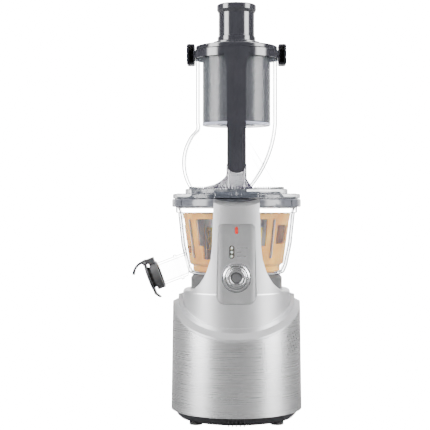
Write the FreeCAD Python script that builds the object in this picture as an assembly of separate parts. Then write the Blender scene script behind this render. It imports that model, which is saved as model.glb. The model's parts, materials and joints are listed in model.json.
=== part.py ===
import FreeCAD, Part
import math
import os
from FreeCAD import Matrix, Placement, Rotation, Vector

os.makedirs("parts", exist_ok=True)

# A vertical slow juicer. Millimetres, +Z up, the front faces -Y.
# The origin is on the resting surface, on the axis of the round motor base.

# Clearances
fit_gap = 0.1            # fixed pieces that slip together
body_gap = 0.3           # faces of pieces that move past each other
running_gap = 0.08       # radial play of a journal or a pin
tooth_play = 0.12        # taken off each gear flank

# Motor base
base_radius = 69.6
base_top_radius = 67.9
wrap_wall = 1.0
wrap_foot_z = 11.8
wrap_top_z = 125.3       # height of the wrap's top edge beside the axis and behind it
wrap_slope = 0.54        # how fast the front half of that edge falls towards the front
shoulder_inner_radius = 62.0
shoulder_z = 128.2
shoulder_slope = 0.5
shoulder_skirt = 3.0     # depth of the ring's outer edge before it is trimmed to the wrap
lip_height = 4.3
lip_width = 3.0
deck_drop = 2.0          # the deck lies this far below the lip
deck_wall = 3.0
collar_radius = 56.8
collar_top_z = 139.0
collar_round = 3.0
housing_wall = 2.5
collar_recess = 2.0      # depth of the recess that the bowl seat stands in
pan_floor_z = 3.0
pan_wall = 2.5
pan_foot_radius = 60.0
pan_top_radius = 67.0
pan_slots = 8
pan_slot_pitch = 6.0
pan_slot_width = 2.2
pan_slot_reach = 16.0
foot_radius = 7.0
foot_spread_x = 42.0
foot_spread_y = 36.0
post_ring_radius = 55.0
post_radius = 3.5
post_angles = (70, 190, 250, 330)
screw_radius = 1.5
screw_head_radius = 2.8
screw_depth = 1.9        # of the head's pocket in the pan
vent_rows = 5
vent_columns = 12
vent_pitch = 5.0
vent_radius = 0.9
vent_start_angle = 50.0
vent_low_z = 74.0
vent_rise = 0.24         # the rows climb this much for each millimetre round the side
gland_radius = 6.0
gland_z = 26.0
lead_hole_radius = 3.6
foot_stem_radius = 2.9
screw_room = 0.2         # round a case screw and its head

# Control column on the front of the housing
column_low_z = 105.0
column_low_y = -61.0
column_lean = 3.83       # degrees, forwards
column_top_z = 234.0
column_bevel = 10.0      # the top falls this much towards the front
column_side = (          # X, Z and rounding up the column's side
    (48.0, 137.0, 0.0),
    (43.0, 141.4, 2.2),
    (38.5, 145.5, 2.2),
    (34.2, 152.0, 2.9),
    (30.4, 160.0, 3.8),
    (26.6, 172.0, 6.4),
    (25.0, 186.0, 9.6),
    (23.0, 242.0, 0.0),
)
column_room = 1.2        # between the column's back and the bowl
panel_low_z = 126.7
panel_high_z = 208.0
panel_half_width_low = 20.4
panel_half_width_high = 18.3
panel_depth = 3.0        # how far the flat panel lies behind the column's front
panel_wall = 1.6
control_z = 153.8
bezel_radius = 13.8
bezel_depth = 6.2        # from the panel's face to the back of the bezel's sleeve
key_board_depth = 7.8
rocker_radius = 10.5
rocker_play = 0.6        # round the rocker, for its tilt
rocker_pivot_depth = 4.3 # from the panel's face to the rocker's pin
rocker_pin_radius = 0.85
pin_play = 0.05
rocker_thickness = 3.4
light_x = -4.8
light_width = 4.9
light_low_z = 173.0
light_high_z = 186.6
lens_heights = (184.0, 179.8, 175.6)
marker_z = 202.0
marker_width = 3.0
marker_height = 7.4

# Drive axis, which carries the bowl and the hopper
drive_y = 7.0
seat_radius = 48.9
seat_hole_radius = 9.0
bowl_floor_z = 153.5
shaft_radius = 8.0
spigot_radius = 6.0
hex_flats = 10.0
hex_low_z = 174.0
hex_top_z = 190.0

# Motor and gearbox
stage_one_module = 0.8
stage_two_module = 1.0
pinion_teeth = 12
stage_one_teeth = 60
stage_two_teeth = 48
stage_two_angle = 150.0
stage_one_angle = -40.0
motor_radius = 40.0
motor_wall = 2.5
stator_low_z = 38.0
stator_high_z = 64.0
stator_bore = 22.6
motor_low_z = 24.0
motor_high_z = 79.7
rotor_gap = 0.6
rotor_seat_gap = 0.03    # between the rotor's core and its shaft
motor_shaft_radius = 4.0
fan_radius = 34.0
fan_low_z = 12.0
fan_high_z = 21.0
fan_blades = 9
gearbox_wall = 2.5
gearbox_top_z = 112.0
stage_one_z = 86.0
stage_one_face = 6.5
stage_two_z = 96.0
stage_two_face = 9.0
bearing_wall = 4.0
motor_bearing_radius = 9.0
motor_bearing_height = 7.0
middle_axle_radius = 2.0
axle_boss_radius = 4.5
capacitor_ring_radius = 49.0
capacitor_angle = 292.0
capacitor_radius = 8.5
capacitor_height = 38.0

# Juicing bowl
bowl_wall = 2.5
bowl_rim_radius = 69.3
bowl_rim_z = 234.3
bowl_rim_height = 8.8
bowl_rim_wall = 2.8
bowl_neck_radius = 65.3
bowl_neck_z = 219.5
bowl_body_radius = 62.8
bowl_foot_radius = 47.0
bowl_bend_radius = 51.5
bowl_bend_z = 155.5
bowl_waist_radius = 54.6
bowl_waist_z = 163.0
bowl_belly_radius = 59.4
bowl_belly_z = 186.0
bowl_top_z = 218.0
hub_radius = 9.3
hub_top_z = 170.0
hub_bore_gap = 0.8
seal_height = 3.0

# Gears in the bowl
bowl_module = 1.5
sun_teeth = 18
idler_teeth = 16
ring_teeth = 50
bowl_gear_z = 156.8
bowl_gear_face = 8.0
idler_pin_radius = 2.5
idler_stem_radius = 2.0

# Strainer and wiper
strainer_low_z = 168.0
strainer_high_z = 219.0
strainer_low_radius = 35.0
strainer_high_radius = 40.0
strainer_wall = 2.0
mesh_low_z = 180.0
mesh_high_z = 204.0
mesh_wall = 0.6
strainer_windows = 12
strainer_ribs = 24
strainer_rim_height = 14.0
chute_wall = 1.4
wiper_low_radius = 49.0
wiper_high_radius = 58.0
wiper_wall = 2.2
wiper_top_z = 219.0
wiper_foot_radius = 46.5
wiper_windows = (        # start and end in degrees from the front, lowest and highest point
    (-48.0, 35.0, 185.0, 213.0),
    (-42.0, 29.0, 171.0, 185.5),
    (50.0, 72.0, 187.0, 207.0),
    (-98.0, -78.0, 206.0, 213.0),
    (-82.0, -66.0, 177.0, 184.5),
)
blade_angles = (-58.0, 43.0)
blade_low_z = 172.0
blade_high_z = 213.0
blade_thickness = 1.2
blade_wall_gap = 0.6     # from a blade's edge to the bowl
blade_mesh_gap = 2.2     # from a blade's edge to the strainer

# Auger
auger_radius = 31.5
auger_core_low = 27.0
auger_core_high = 12.0
auger_top_z = 221.0
auger_pin_radius = 5.0
auger_pin_top = 236.5
flight_pitch = 34.0
flight_width = 5.0
flight_top_z = 208.0

# Juice spout and its cap
spout_slope = 21.0
spout_start_x = -55.4
spout_start_z = 163.5
spout_length = 34.3
spout_radius = 12.5
spout_wall = 2.5
cap_ring_radius = 15.0
cap_ring_length = 8.0
cap_hinge_out = 17.5
cap_plate = 2.6
cap_gap = 3.2
cap_pin_radius = 1.3
lever_width = 10.0

# Pulp duct at the back
duct_width = 26.0
duct_low_z = 139.8
duct_wall = 2.0
duct_end_y = 84.0
pulp_hole_low_y = 25.0
pulp_hole_high_y = 39.0
pulp_hole_width = 18.0

# Hopper
flange_radius = 55.1
flange_top_z = 245.0
ring_radius = 68.5
ring_top_z = 239.7
hopper_radius = 43.9
hopper_wall = 2.8
hopper_top_z = 392.4
hopper_straight_z = 316.0
hopper_blend_z = 302.0   # the bulge begins to blend into the straight part here
bulge_x = -7.3
bulge_z = 272.9
bulge_radius = 51.5
right_arc_radius = 117.0
right_arc_z = 322.0
feed_x = -18.7
feed_radius = 30.0
lid_wall = 3.2
lid_collar_wall = 2.4
bush_wall = 2.6
hopper_collar_low_z = 384.0
hopper_collar_wall = 2.4
ear_reach = 53.5
ear_low_z = 377.7
ear_high_z = 400.0
ear_depth = 18.0
bar_half_width = 9.8
bar_front_y = -51.5
bar_depth = 8.5
bar_low_z = 261.0
bar_high_z = 390.0
bar_flare = 14.0
tab_half_width = 23.0
tab_low_z = 235.2
tab_high_z = 241.5
tab_front_y = -69.0

# Pushers
pusher_radius = 36.4
pusher_wall = 2.2
pusher_low_z = 315.0
cap_flange_low_z = 392.7
cap_flange_high_z = 397.7
cap_neck_radius = 25.4
cap_neck_z = 402.0
small_pusher_radius = 19.4
small_pusher_low_z = 318.0
small_head_radius = 21.3
small_head_low_z = 437.0
small_pusher_room = 0.6  # round the small pusher in its chute
overall_height = 443.0


def cylinder(radius, low, high, x=0.0, y=0.0):
    return Part.makeCylinder(radius, high - low, Vector(x, y, low))


def tube(outer, inner, low, high, x=0.0, y=0.0):
    return cylinder(outer, low, high, x, y).cut(cylinder(inner, low - 1, high + 1, x, y))


def block(x_low, x_high, y_low, y_high, z_low, z_high):
    corner = Vector(x_low, y_low, z_low)
    return Part.makeBox(x_high - x_low, y_high - y_low, z_high - z_low, corner)


def corner_arc(before, at, after, radius):
    """The tangent arc that rounds one corner, with its two ends."""
    back = (before - at).normalize()
    ahead = (after - at).normalize()
    half = back.getAngle(ahead) / 2
    reach = radius / math.tan(half)
    start = at + back * reach
    end = at + ahead * reach
    middle_line = (back + ahead).normalize()
    centre = at + middle_line * (radius / math.sin(half))
    middle = centre - middle_line * radius
    return start, middle, end


def rounded_face(corners):
    """A face with straight sides; a corner with a third value is rounded to that radius.

    Each corner is (a, b) or (a, b, radius), and a and b become X and Z.
    """
    places = [Vector(c[0], 0, c[1]) for c in corners]
    radii = [c[2] if len(c) > 2 else 0 for c in corners]
    count = len(places)
    stops = []
    for i in range(count):
        if radii[i] > 0:
            stops.append(corner_arc(places[i - 1], places[i], places[(i + 1) % count], radii[i]))
        else:
            stops.append((places[i], None, places[i]))
    edges = []
    for i in range(count):
        start, middle, end = stops[i]
        if middle is not None:
            edges.append(Part.Arc(start, middle, end).toShape())
        following = stops[(i + 1) % count][0]
        if (following - end).Length > 1e-6:
            edges.append(Part.LineSegment(end, following).toShape())
    return Part.Face(Part.Wire(edges))


def turned(corners, x=0.0, y=0.0):
    """A solid of revolution about a vertical axis; corners are (radius, height[, rounding])."""
    solid = rounded_face(corners).revolve(Vector(0, 0, 0), Vector(0, 0, 1), 360)
    solid.translate(Vector(x, y, 0))
    return solid


def front_prism(corners, y_low, y_high):
    """A front outline of (x, z[, rounding]) corners, run from y_low to y_high."""
    face = rounded_face(corners)
    face.translate(Vector(0, y_low, 0))
    return face.extrude(Vector(0, y_high - y_low, 0))


def side_prism(corners, half_width):
    """A side outline of (y, z[, rounding]) corners, as wide as twice half_width."""
    face = rounded_face(corners)
    face.rotate(Vector(0, 0, 0), Vector(0, 0, 1), 90)
    face.translate(Vector(-half_width, 0, 0))
    return face.extrude(Vector(2 * half_width, 0, 0))


def plan_prism(corners, low, high):
    """A plan outline of (x, y[, rounding]) corners, from one height to another."""
    face = rounded_face(corners)
    face.rotate(Vector(0, 0, 0), Vector(1, 0, 0), -90)
    solid = face.extrude(Vector(0, 0, high - low))
    solid.translate(Vector(0, 0, low))
    return solid


def above_slope(height, slope, reach=100.0, top=400.0):
    """Everything above a deck that is level behind the axis and falls towards the front."""
    corners = [(-reach, height - slope * reach), (0, height), (reach, height), (reach, top), (-reach, top)]
    return side_prism(corners, reach)


def round_the_axis(shape, count, x=0.0, y=0.0, start=0.0):
    """Copies of a shape, evenly spaced round a vertical axis."""
    copies = []
    for i in range(count):
        copy = shape.copy()
        copy.rotate(Vector(x, y, 0), Vector(0, 0, 1), start + 360.0 * i / count)
        copies.append(copy)
    return copies


def joined(shapes):
    first = shapes[0]
    if len(shapes) == 1:
        return first
    return first.multiFuse(shapes[1:]).removeSplitter()


def save(name, shape):
    shape.exportStep(os.path.join("parts", name + ".step"))


# ---- Motor base: shell, shoulder, pan and feet ----

def make_wrap():
    foot = wrap_foot_z
    back = wrap_top_z
    inner = wrap_wall
    corners = [(base_radius, foot), (base_top_radius, back), (base_top_radius - inner, back),
               (base_radius - inner, foot)]
    wrap = turned(corners)
    wrap = wrap.cut(above_slope(wrap_top_z, wrap_slope))
    wrap = wrap.cut(Part.makeCylinder(gland_radius + fit_gap, 20, Vector(0, 60, gland_z), Vector(0, 1, 0)))
    step_angle = math.degrees(vent_pitch / base_radius)
    holes = []
    for row in range(vent_rows):
        for column in range(vent_columns):
            along = column + 0.5 * (row % 2)
            angle = math.radians(vent_start_angle + along * step_angle)
            rise = vent_rise * vent_pitch * along
            height = vent_low_z + row * vent_pitch * 0.9 + rise
            outward = Vector(math.sin(angle), -math.cos(angle), 0)
            start = outward * (base_radius - 6) + Vector(0, 0, height)
            holes.append(Part.makeCylinder(vent_radius, 10, start, outward))
    return wrap.cut(holes)


def sheared(shape, slope):
    """The front half of a ring slid down in step with its distance from the axis."""
    slant = Matrix()
    slant.A32 = slope
    front = shape.common(block(-100, 100, -100, 0, 0, 300)).transformGeometry(slant)
    back = shape.common(block(-100, 100, 0, 100, 0, 300))
    return front.fuse(back)


def make_shoulder():
    outer = base_top_radius
    inner = shoulder_inner_radius + fit_gap
    drop = shoulder_z - wrap_top_z
    corners = [(inner, shoulder_z), (outer, shoulder_z - drop), (outer, shoulder_z - drop - shoulder_skirt),
               (outer - wrap_wall - fit_gap, shoulder_z - drop - shoulder_skirt), (inner, shoulder_z - 6)]
    ring = sheared(turned(corners), shoulder_slope)
    room = tube(base_radius + 2, base_top_radius - wrap_wall - 0.5, 0, 200)
    below = block(-100, 100, -100, 100, 0, 200).cut(above_slope(wrap_top_z + fit_gap, wrap_slope))
    return ring.cut(room.common(below))


def collar_outline(radius, height):
    """The collar's plan at one height: round at the back, drawn forward to the column's front."""
    forward = column_low_y - (height - column_low_z) * math.tan(math.radians(column_lean))
    front_centre = forward + collar_radius
    back_arc = Part.Arc(Vector(radius, 0, height), Vector(0, radius, height), Vector(-radius, 0, height))
    front_arc = Part.Arc(Vector(-radius, front_centre, height), Vector(0, front_centre - radius, height),
                         Vector(radius, front_centre, height))
    left = Part.LineSegment(Vector(-radius, 0, height), Vector(-radius, front_centre, height))
    right = Part.LineSegment(Vector(radius, front_centre, height), Vector(radius, 0, height))
    return Part.Wire([back_arc.toShape(), left.toShape(), front_arc.toShape(), right.toShape()])


def collar_solid(radius, low, high):
    return Part.makeLoft([collar_outline(radius, low), collar_outline(radius, high)], True, True)


def column_face_y(height):
    return column_low_y - (height - column_low_z) * math.tan(math.radians(column_lean))


def column_front(radius, low, high):
    """A leaning round prism whose front is the column's front."""
    centre_y = column_face_y(low) + radius
    circle = Part.makeCircle(radius, Vector(0, centre_y, low))
    face = Part.Face(Part.Wire(circle))
    rise = high - low
    return face.extrude(Vector(0, -rise * math.tan(math.radians(column_lean)), rise))


def column_outline(inset):
    """The column's front outline; inset makes it smaller for the hollow."""
    right = [(x - inset, z, rounding) for x, z, rounding in column_side]
    left = [(-x, z, rounding) for x, z, rounding in reversed(right)]
    return right + left


def bowl_room(gap):
    """The space that the bowl and its rim need behind the column, up to where the bowl lifts."""
    corners = [(0, seat_top_z), (bowl_bend_radius + 0.5 + gap, seat_top_z),
               (bowl_waist_radius + gap, bowl_waist_z),
               (bowl_belly_radius + gap, bowl_belly_z), (bowl_body_radius + gap, bowl_top_z),
               (bowl_neck_radius + gap, bowl_neck_z),
               (bowl_rim_radius + gap, bowl_rim_z - bowl_rim_height), (bowl_rim_radius + gap, 300), (0, 300)]
    return turned(corners, 0, drive_y)


def on_column(shape, height, depth=0.0):
    """Moves a piece modelled about the origin onto the column: its -Y side faces out."""
    moved = shape.copy()
    lean = Rotation(Vector(1, 0, 0), column_lean)
    inward = lean.multVec(Vector(0, 1, 0)) * depth
    place = Placement(Vector(0, column_face_y(height), height) + inward, lean)
    moved.Placement = place.multiply(moved.Placement)
    return moved


def panel_outline(inset, middle):
    """The panel's rounded outline, measured from the control's height."""
    low = panel_low_z - middle + inset
    high = panel_high_z - middle - inset
    low_half = panel_half_width_low - inset
    high_half = panel_half_width_high - inset
    return [(-low_half, low, 9), (low_half, low, 9), (high_half, high, 4.5), (-high_half, high, 4.5)]


def disc_y(radius, front, back, x=0.0, z=0.0):
    """A disc that faces -Y, between two depths."""
    return Part.makeCylinder(radius, back - front, Vector(x, front, z), Vector(0, 1, 0))


seat_top_z = bowl_floor_z - body_gap
deck_z = shoulder_z + lip_height - deck_drop


def make_housing():
    deck_low = deck_z - deck_wall
    over_deck = above_slope(deck_low, shoulder_slope)
    collar = collar_solid(collar_radius, deck_z - 40, collar_top_z)
    rim = [edge for edge in collar.Edges if edge.BoundBox.ZMin > collar_top_z - 0.1]
    collar = collar.makeFillet(collar_round, rim).common(over_deck)
    deck = cylinder(shoulder_inner_radius, 80, 200).common(over_deck)
    deck = deck.cut(above_slope(deck_z, shoulder_slope))
    lip = tube(shoulder_inner_radius, shoulder_inner_radius - lip_width, 60, 200)
    lip = lip.common(above_slope(shoulder_z - 5, shoulder_slope))
    lip = lip.cut(above_slope(shoulder_z + lip_height, shoulder_slope))
    column = front_prism(column_outline(0), -90, -30)
    column = column.common(column_front(collar_radius, column_low_z, column_top_z + 20))
    front_top = column_top_z - column_bevel
    top_cut = side_prism([(-95, front_top - 14), (-71, front_top), (-60, column_top_z),
                          (0, column_top_z), (0, 300), (-95, 300)], 60)
    column = column.cut(top_cut)
    outer = joined([collar, deck, lip, column])
    outer = outer.cut(bowl_room(column_room))

    inner_radius = collar_radius - housing_wall
    roof_low = collar_top_z - collar_recess - housing_wall
    hollow = collar_solid(inner_radius, 60, roof_low)
    column_hollow = front_prism(column_outline(housing_wall), -90, -30)
    column_hollow = column_hollow.common(column_front(collar_radius - housing_wall, 100, column_top_z))
    column_hollow.translate(Vector(0, housing_wall, 0))
    column_hollow = column_hollow.cut(bowl_room(column_room + housing_wall))
    keep = side_prism([(-95, 100), (-95, front_top - 18), (-66, front_top - 4), (-40, column_top_z - 5),
                       (-40, 100)], 60)
    column_hollow = column_hollow.common(keep)
    outer = outer.cut(hollow).cut(column_hollow)
    recess = cylinder(seat_radius + fit_gap, collar_top_z - collar_recess, 200, 0, drive_y)
    outer = outer.cut(recess)
    outer = outer.cut(cylinder(shaft_radius + 2, 100, 200, 0, drive_y))

    middle = control_z
    pocket = on_column(front_prism(panel_outline(-fit_gap - 0.3, middle), -12, panel_wall + 0.6), middle,
                       panel_depth)
    outer = outer.cut(pocket)
    posts = []
    for angle in post_angles:
        x = post_ring_radius * math.cos(math.radians(angle))
        y = post_ring_radius * math.sin(math.radians(angle))
        top = deck_z - deck_wall / 2 + min(0, (y - post_radius) * shoulder_slope)
        posts.append(cylinder(post_radius, pan_floor_z + pan_wall + fit_gap, top, x, y))
    outer = joined([outer] + posts)
    for angle in post_angles:
        x = post_ring_radius * math.cos(math.radians(angle))
        y = post_ring_radius * math.sin(math.radians(angle))
        outer = outer.cut(cylinder(screw_radius + 0.02, 0, 22, x, y))
    duct_room = block(-duct_width / 2 - 1, duct_width / 2 + 1, 20, 90, duct_low_z - 0.5, 200)
    return outer.cut(duct_room)


def make_pan():
    low = pan_floor_z
    floor = low + pan_wall
    top = wrap_foot_z
    inner = base_radius - wrap_wall - 2 * fit_gap
    corners = [(0, low), (pan_foot_radius, low, 1), (pan_foot_radius + 3, low + 3, 2),
               (pan_top_radius, top - 0.2),
               (base_radius - 1.2, top - 0.2), (base_radius - 1.2, top - 0.1), (inner, top - 0.1),
               (inner, top + 5), (inner - 2, top + 5), (inner - 2, top), (pan_foot_radius - 1, floor),
               (0, floor)]
    pan = turned(corners)
    bosses = []
    for x, y in motor_posts():
        bosses.append(cylinder(3.5, floor - 1, motor_low_z, x, y))
    ribs = []
    for i in range(5):
        x = (i - 2) * 4.0
        ribs.append(block(x - 0.6, x + 0.6, -pan_foot_radius - 5.5, -pan_foot_radius + 3, low, top - 0.5))
    pan = joined([pan] + bosses + ribs)
    holes = []
    for angle in post_angles:
        x = post_ring_radius * math.cos(math.radians(angle))
        y = post_ring_radius * math.sin(math.radians(angle))
        holes.append(cylinder(screw_radius + screw_room, 0, 10, x, y))
        holes.append(cylinder(screw_head_radius + screw_room, 0, low + screw_depth, x, y))
    for x, y in foot_places():
        holes.append(cylinder(foot_stem_radius + fit_gap, 0, 8, x, y))
    for i in range(pan_slots):
        start = 22.0 - i * pan_slot_pitch
        holes.append(block(-pan_slot_reach, pan_slot_reach, start - pan_slot_width, start, 0, 8))
    return pan.cut(holes)


def foot_places():
    return [(sx * foot_spread_x, sy * foot_spread_y) for sx in (-1, 1) for sy in (-1, 1)]


def make_feet():
    feet = []
    stem_top = pan_floor_z + pan_wall + 0.2
    for x, y in foot_places():
        pad = turned([(0, 0), (foot_radius, 0, 0.8), (foot_radius, pan_floor_z),
                      (foot_stem_radius, pan_floor_z),
                      (foot_stem_radius, stem_top), (0, stem_top)], x, y)
        feet.append(pad)
    return Part.makeCompound(feet)


def make_case_screws():
    screws = []
    low = pan_floor_z + screw_depth
    for angle in post_angles:
        x = post_ring_radius * math.cos(math.radians(angle))
        y = post_ring_radius * math.sin(math.radians(angle))
        head = cylinder(screw_head_radius, low - 1.7, low, x, y).cut(block(x - 2, x + 2, y - 0.4, y + 0.4,
                                                                         low - 2, low - 0.9))
        screws.append(head.fuse(cylinder(screw_radius, low, 20, x, y)))
    return Part.makeCompound(screws)


def make_gland():
    """The bush that the mains lead leaves the base through."""
    face_y = 73.0
    inner_y = 62.0
    wall_y = base_radius
    body = Part.makeCylinder(gland_radius, face_y - inner_y, Vector(0, inner_y, gland_z), Vector(0, 1, 0))
    rim = Part.makeCylinder(gland_radius + 2, 2, Vector(0, wall_y + 0.1, gland_z), Vector(0, 1, 0))
    nut = Part.makeCylinder(gland_radius + 2, 2.5, Vector(0, inner_y + 2, gland_z), Vector(0, 1, 0))
    bore = Part.makeCylinder(lead_hole_radius, 30, Vector(0, inner_y - 5, gland_z), Vector(0, 1, 0))
    return joined([body, rim, nut]).cut(bore)


def make_seat():
    low = collar_top_z - collar_recess
    top = seat_top_z
    corners = [(seat_hole_radius, low), (seat_radius, low), (seat_radius, top - 3, 2),
               (seat_radius - 2.2, top, 0.8),
               (seat_radius - 5, top), (seat_radius - 6, top - 1.2), (24, top - 1.2), (22, top),
               (seat_hole_radius, top)]
    seat = turned(corners, 0, drive_y)
    groove = block(-duct_width / 2 - 0.8, duct_width / 2 + 0.8, pulp_hole_low_y - 4, 90, duct_low_z - 0.5,
                   200)
    pockets = []
    for place in round_the_axis(cylinder(4, top - 3, top + 1, 34, drive_y), 3, 0, drive_y, 30):
        pockets.append(place)
    return seat.cut([groove] + pockets)


def make_shaft_seal():
    top = seat_top_z
    corners = [(spigot_radius + running_gap, top - 5), (seat_hole_radius - fit_gap, top - 5),
               (seat_hole_radius - fit_gap, top - 0.4),
               (spigot_radius + running_gap, top - 1.4)]
    return turned(corners, 0, drive_y)


# ---- Column fittings: panel, control, lights, boards and switch ----

def make_panel():
    middle = control_z
    plate = front_prism(panel_outline(0, middle), 0, panel_wall)
    openings = [disc_y(bezel_radius + fit_gap, -5, 5)]
    light_mid = (light_low_z + light_high_z) / 2 - middle
    openings.append(pill(light_x, light_mid, light_width + 0.2, light_high_z - light_low_z + 0.2, -5, 5))
    openings.append(pill(0, marker_z - middle, marker_width + 0.2, marker_height + 0.2, -5, 5))
    return on_column(plate.cut(openings), middle, panel_depth)


def pill(x, z, width, height, front, back):
    """An upright pill shape facing -Y."""
    radius = width / 2
    straight = height / 2 - radius
    middle = block(x - radius, x + radius, front, back, z - straight, z + straight)
    return joined([middle, disc_y(radius, front, back, x, z + straight),
                   disc_y(radius, front, back, x, z - straight)])


def make_bezel():
    well = rocker_radius + rocker_play
    face = rounded_face([(well, -1.6, 0.3), (well + 1.0, -2.2, 0.5),
                         (bezel_radius, -1.2, 0.6), (bezel_radius, bezel_depth),
                         (bezel_radius - 1.5, bezel_depth),
                         (bezel_radius - 1.5, 3.2), (well, 3.2)])
    ring = face.revolve(Vector(0, 0, 0), Vector(0, 0, 1), 360)
    back = cylinder(bezel_radius - 0.2, bezel_depth, key_board_depth - fit_gap)
    back = back.cut(block(-5, 5, -9.4, 9.4, bezel_depth - 1, key_board_depth + 1))
    ring = ring.fuse(back)
    bearings = []
    for side in (-1, 1):
        low = min(side * 8.0, side * 9.6)
        lug = block(low, low + 1.6, -1.6, 1.6, 3.0, 5.8)
        bearings.append(lug)
    ring = joined([ring] + bearings)
    pivot = Part.makeCylinder(rocker_pin_radius + pin_play, 30, Vector(-15, 0, rocker_pivot_depth),
                              Vector(1, 0, 0))
    ring = ring.cut(pivot.common(cylinder(bezel_radius - 1.6, 0, 10)))
    ring.rotate(Vector(0, 0, 0), Vector(1, 0, 0), -90)
    return on_column(ring, control_z, panel_depth)


def make_rocker():
    face = rounded_face([(0, -0.9), (2.6, -0.9), (3.6, -1.2), (7.6, -2.2), (rocker_radius, -1.4, 0.5),
                         (rocker_radius, -1.4 + rocker_thickness), (0, -1.4 + rocker_thickness)])
    button = face.revolve(Vector(0, 0, 0), Vector(0, 0, 1), 360)
    web = block(-7.4, 7.4, -1.4, 1.4, 0, 5.7)
    button = button.fuse(web)
    pivot = Part.makeCylinder(rocker_pin_radius + pin_play, 30, Vector(-15, 0, rocker_pivot_depth),
                              Vector(1, 0, 0))
    button = button.cut(pivot).removeSplitter()
    button.rotate(Vector(0, 0, 0), Vector(1, 0, 0), -90)
    return on_column(button, control_z, panel_depth)


def make_rocker_pin():
    pin = Part.makeCylinder(rocker_pin_radius, 19.4, Vector(-9.7, rocker_pivot_depth, 0), Vector(1, 0, 0))
    return on_column(pin, control_z, panel_depth)


def make_light_window():
    middle = (light_low_z + light_high_z) / 2 - control_z
    window = pill(light_x, middle, light_width, light_high_z - light_low_z, -0.15, panel_wall)
    holes = [disc_y(1.35, -2, 5, light_x, height - control_z) for height in lens_heights]
    return on_column(window.cut(holes), control_z, panel_depth)


def make_light_lenses():
    lenses = []
    for height in lens_heights:
        lens = disc_y(1.25, -0.4, panel_wall + 0.8, light_x, height - control_z)
        lenses.append(lens)
    return on_column(Part.makeCompound(lenses), control_z, panel_depth)


def make_marker():
    return on_column(pill(0, marker_z - control_z, marker_width, marker_height, -0.3, panel_wall), control_z,
                     panel_depth)


def make_control_board():
    board_front = key_board_depth
    key_board = block(-13, 13, board_front, board_front + 1.6, -14, 14)
    contacts = []
    for height in (-6.5, 6.5):
        contacts.append(block(-2.2, 2.2, board_front - 0.5, board_front, height - 2.2, height + 2.2))
    key_board = on_column(joined([key_board] + contacts), control_z, panel_depth)
    light_front = panel_wall + 1.2
    low = light_low_z - control_z - 1
    high = light_high_z - control_z + 3
    light_board = block(-12, 12, light_front, light_front + 1.4, low, high)
    driver = block(3, 10, light_front + 1.4, light_front + 2.4, low + 3, low + 11)
    light_board = on_column(joined([light_board, driver]), control_z, panel_depth)
    return Part.makeCompound([key_board, light_board, interlock_switch()])


def interlock_switch():
    """The magnetic switch at the column's top that the locked hopper closes."""
    depth = housing_wall + 1.0
    body = block(-9, 9, depth, depth + 2.6, -5, 4)
    return on_column(body, column_top_z - 20, 0)


# ---- Motor ----

def polar(x, y, length, angle):
    turn = math.radians(angle)
    return x + length * math.cos(turn), y + length * math.sin(turn)


stage_one_distance = stage_one_module * (pinion_teeth + stage_one_teeth) / 2
stage_two_distance = stage_two_module * (pinion_teeth + stage_two_teeth) / 2
middle_x, middle_y = polar(0.0, drive_y, stage_two_distance, stage_two_angle)
motor_x, motor_y = polar(middle_x, middle_y, stage_one_distance, stage_one_angle)


def motor_posts():
    return [polar(motor_x, motor_y, motor_radius - 2.5, 45 + 90 * i) for i in range(4)]


def make_stator():
    body = tube(motor_radius - motor_wall - fit_gap, stator_bore, stator_low_z, stator_high_z, motor_x,
                motor_y)
    slots = []
    for slot in round_the_axis(block(motor_x + stator_bore + 2, motor_x + stator_bore + 11, motor_y - 2.2,
                                     motor_y + 2.2, 0, 100), 12, motor_x, motor_y):
        slots.append(slot)
    return body.cut(slots)


def make_windings():
    rings = []
    for low, high in ((stator_low_z - 8, stator_low_z), (stator_high_z, stator_high_z + 8)):
        rings.append(turned([(stator_bore + 1.5, low, 2.5), (stator_bore + 11.5, low, 2.5),
                             (stator_bore + 11.5, high, 2.5), (stator_bore + 1.5, high, 2.5)], motor_x,
                             motor_y))
    coils = []
    for coil in round_the_axis(block(motor_x + stator_bore + 2.2, motor_x + stator_bore + 10.8, motor_y - 2.0,
                                     motor_y + 2.0, stator_low_z - 1, stator_high_z + 1), 12, motor_x,
                                     motor_y):
        coils.append(coil)
    return joined(rings + coils)


def make_end_bell(low, high, face_up):
    """One cup-shaped end of the motor, with its bearing pocket."""
    outer = motor_radius
    inner = motor_radius - motor_wall
    floor_low = low if not face_up else high - 3
    floor_high = low + 3 if not face_up else high
    shell = tube(outer, inner, low, high, motor_x, motor_y)
    plate = cylinder(outer, floor_low, floor_high, motor_x, motor_y)
    boss_low = floor_low if not face_up else floor_low - 4
    boss_high = floor_high + 4 if not face_up else floor_high
    boss = cylinder(11.5, boss_low, boss_high, motor_x, motor_y)
    bell = joined([shell, plate, boss])
    windows = round_the_axis(block(motor_x + 14, motor_x + 33, motor_y - 5, motor_y + 5, floor_low - 1,
                                   floor_high + 1), 6, motor_x, motor_y)
    pocket = cylinder(motor_bearing_radius, boss_low - 1, boss_high + 1, motor_x, motor_y)
    return bell.cut(windows + [pocket])


def make_motor_bells():
    lower = make_end_bell(motor_low_z, stator_low_z, False)
    upper = make_end_bell(stator_high_z, motor_high_z, True)
    return Part.makeCompound([lower, upper])


def make_shaft_bearings():
    """Two bearings of the motor's shaft and the long sleeve of the drive shaft."""
    rings = []
    for low in (motor_low_z, motor_high_z - motor_bearing_height):
        rings.append(tube(motor_bearing_radius, motor_shaft_radius + running_gap, low,
                          low + motor_bearing_height,
                          motor_x, motor_y))
    sleeve_low = gearbox_top_z - 3
    rings.append(tube(shaft_radius + bearing_wall, shaft_radius + running_gap, sleeve_low, roof_low_z - 1.2,
                      0,
                      drive_y))
    return Part.makeCompound(rings)


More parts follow.
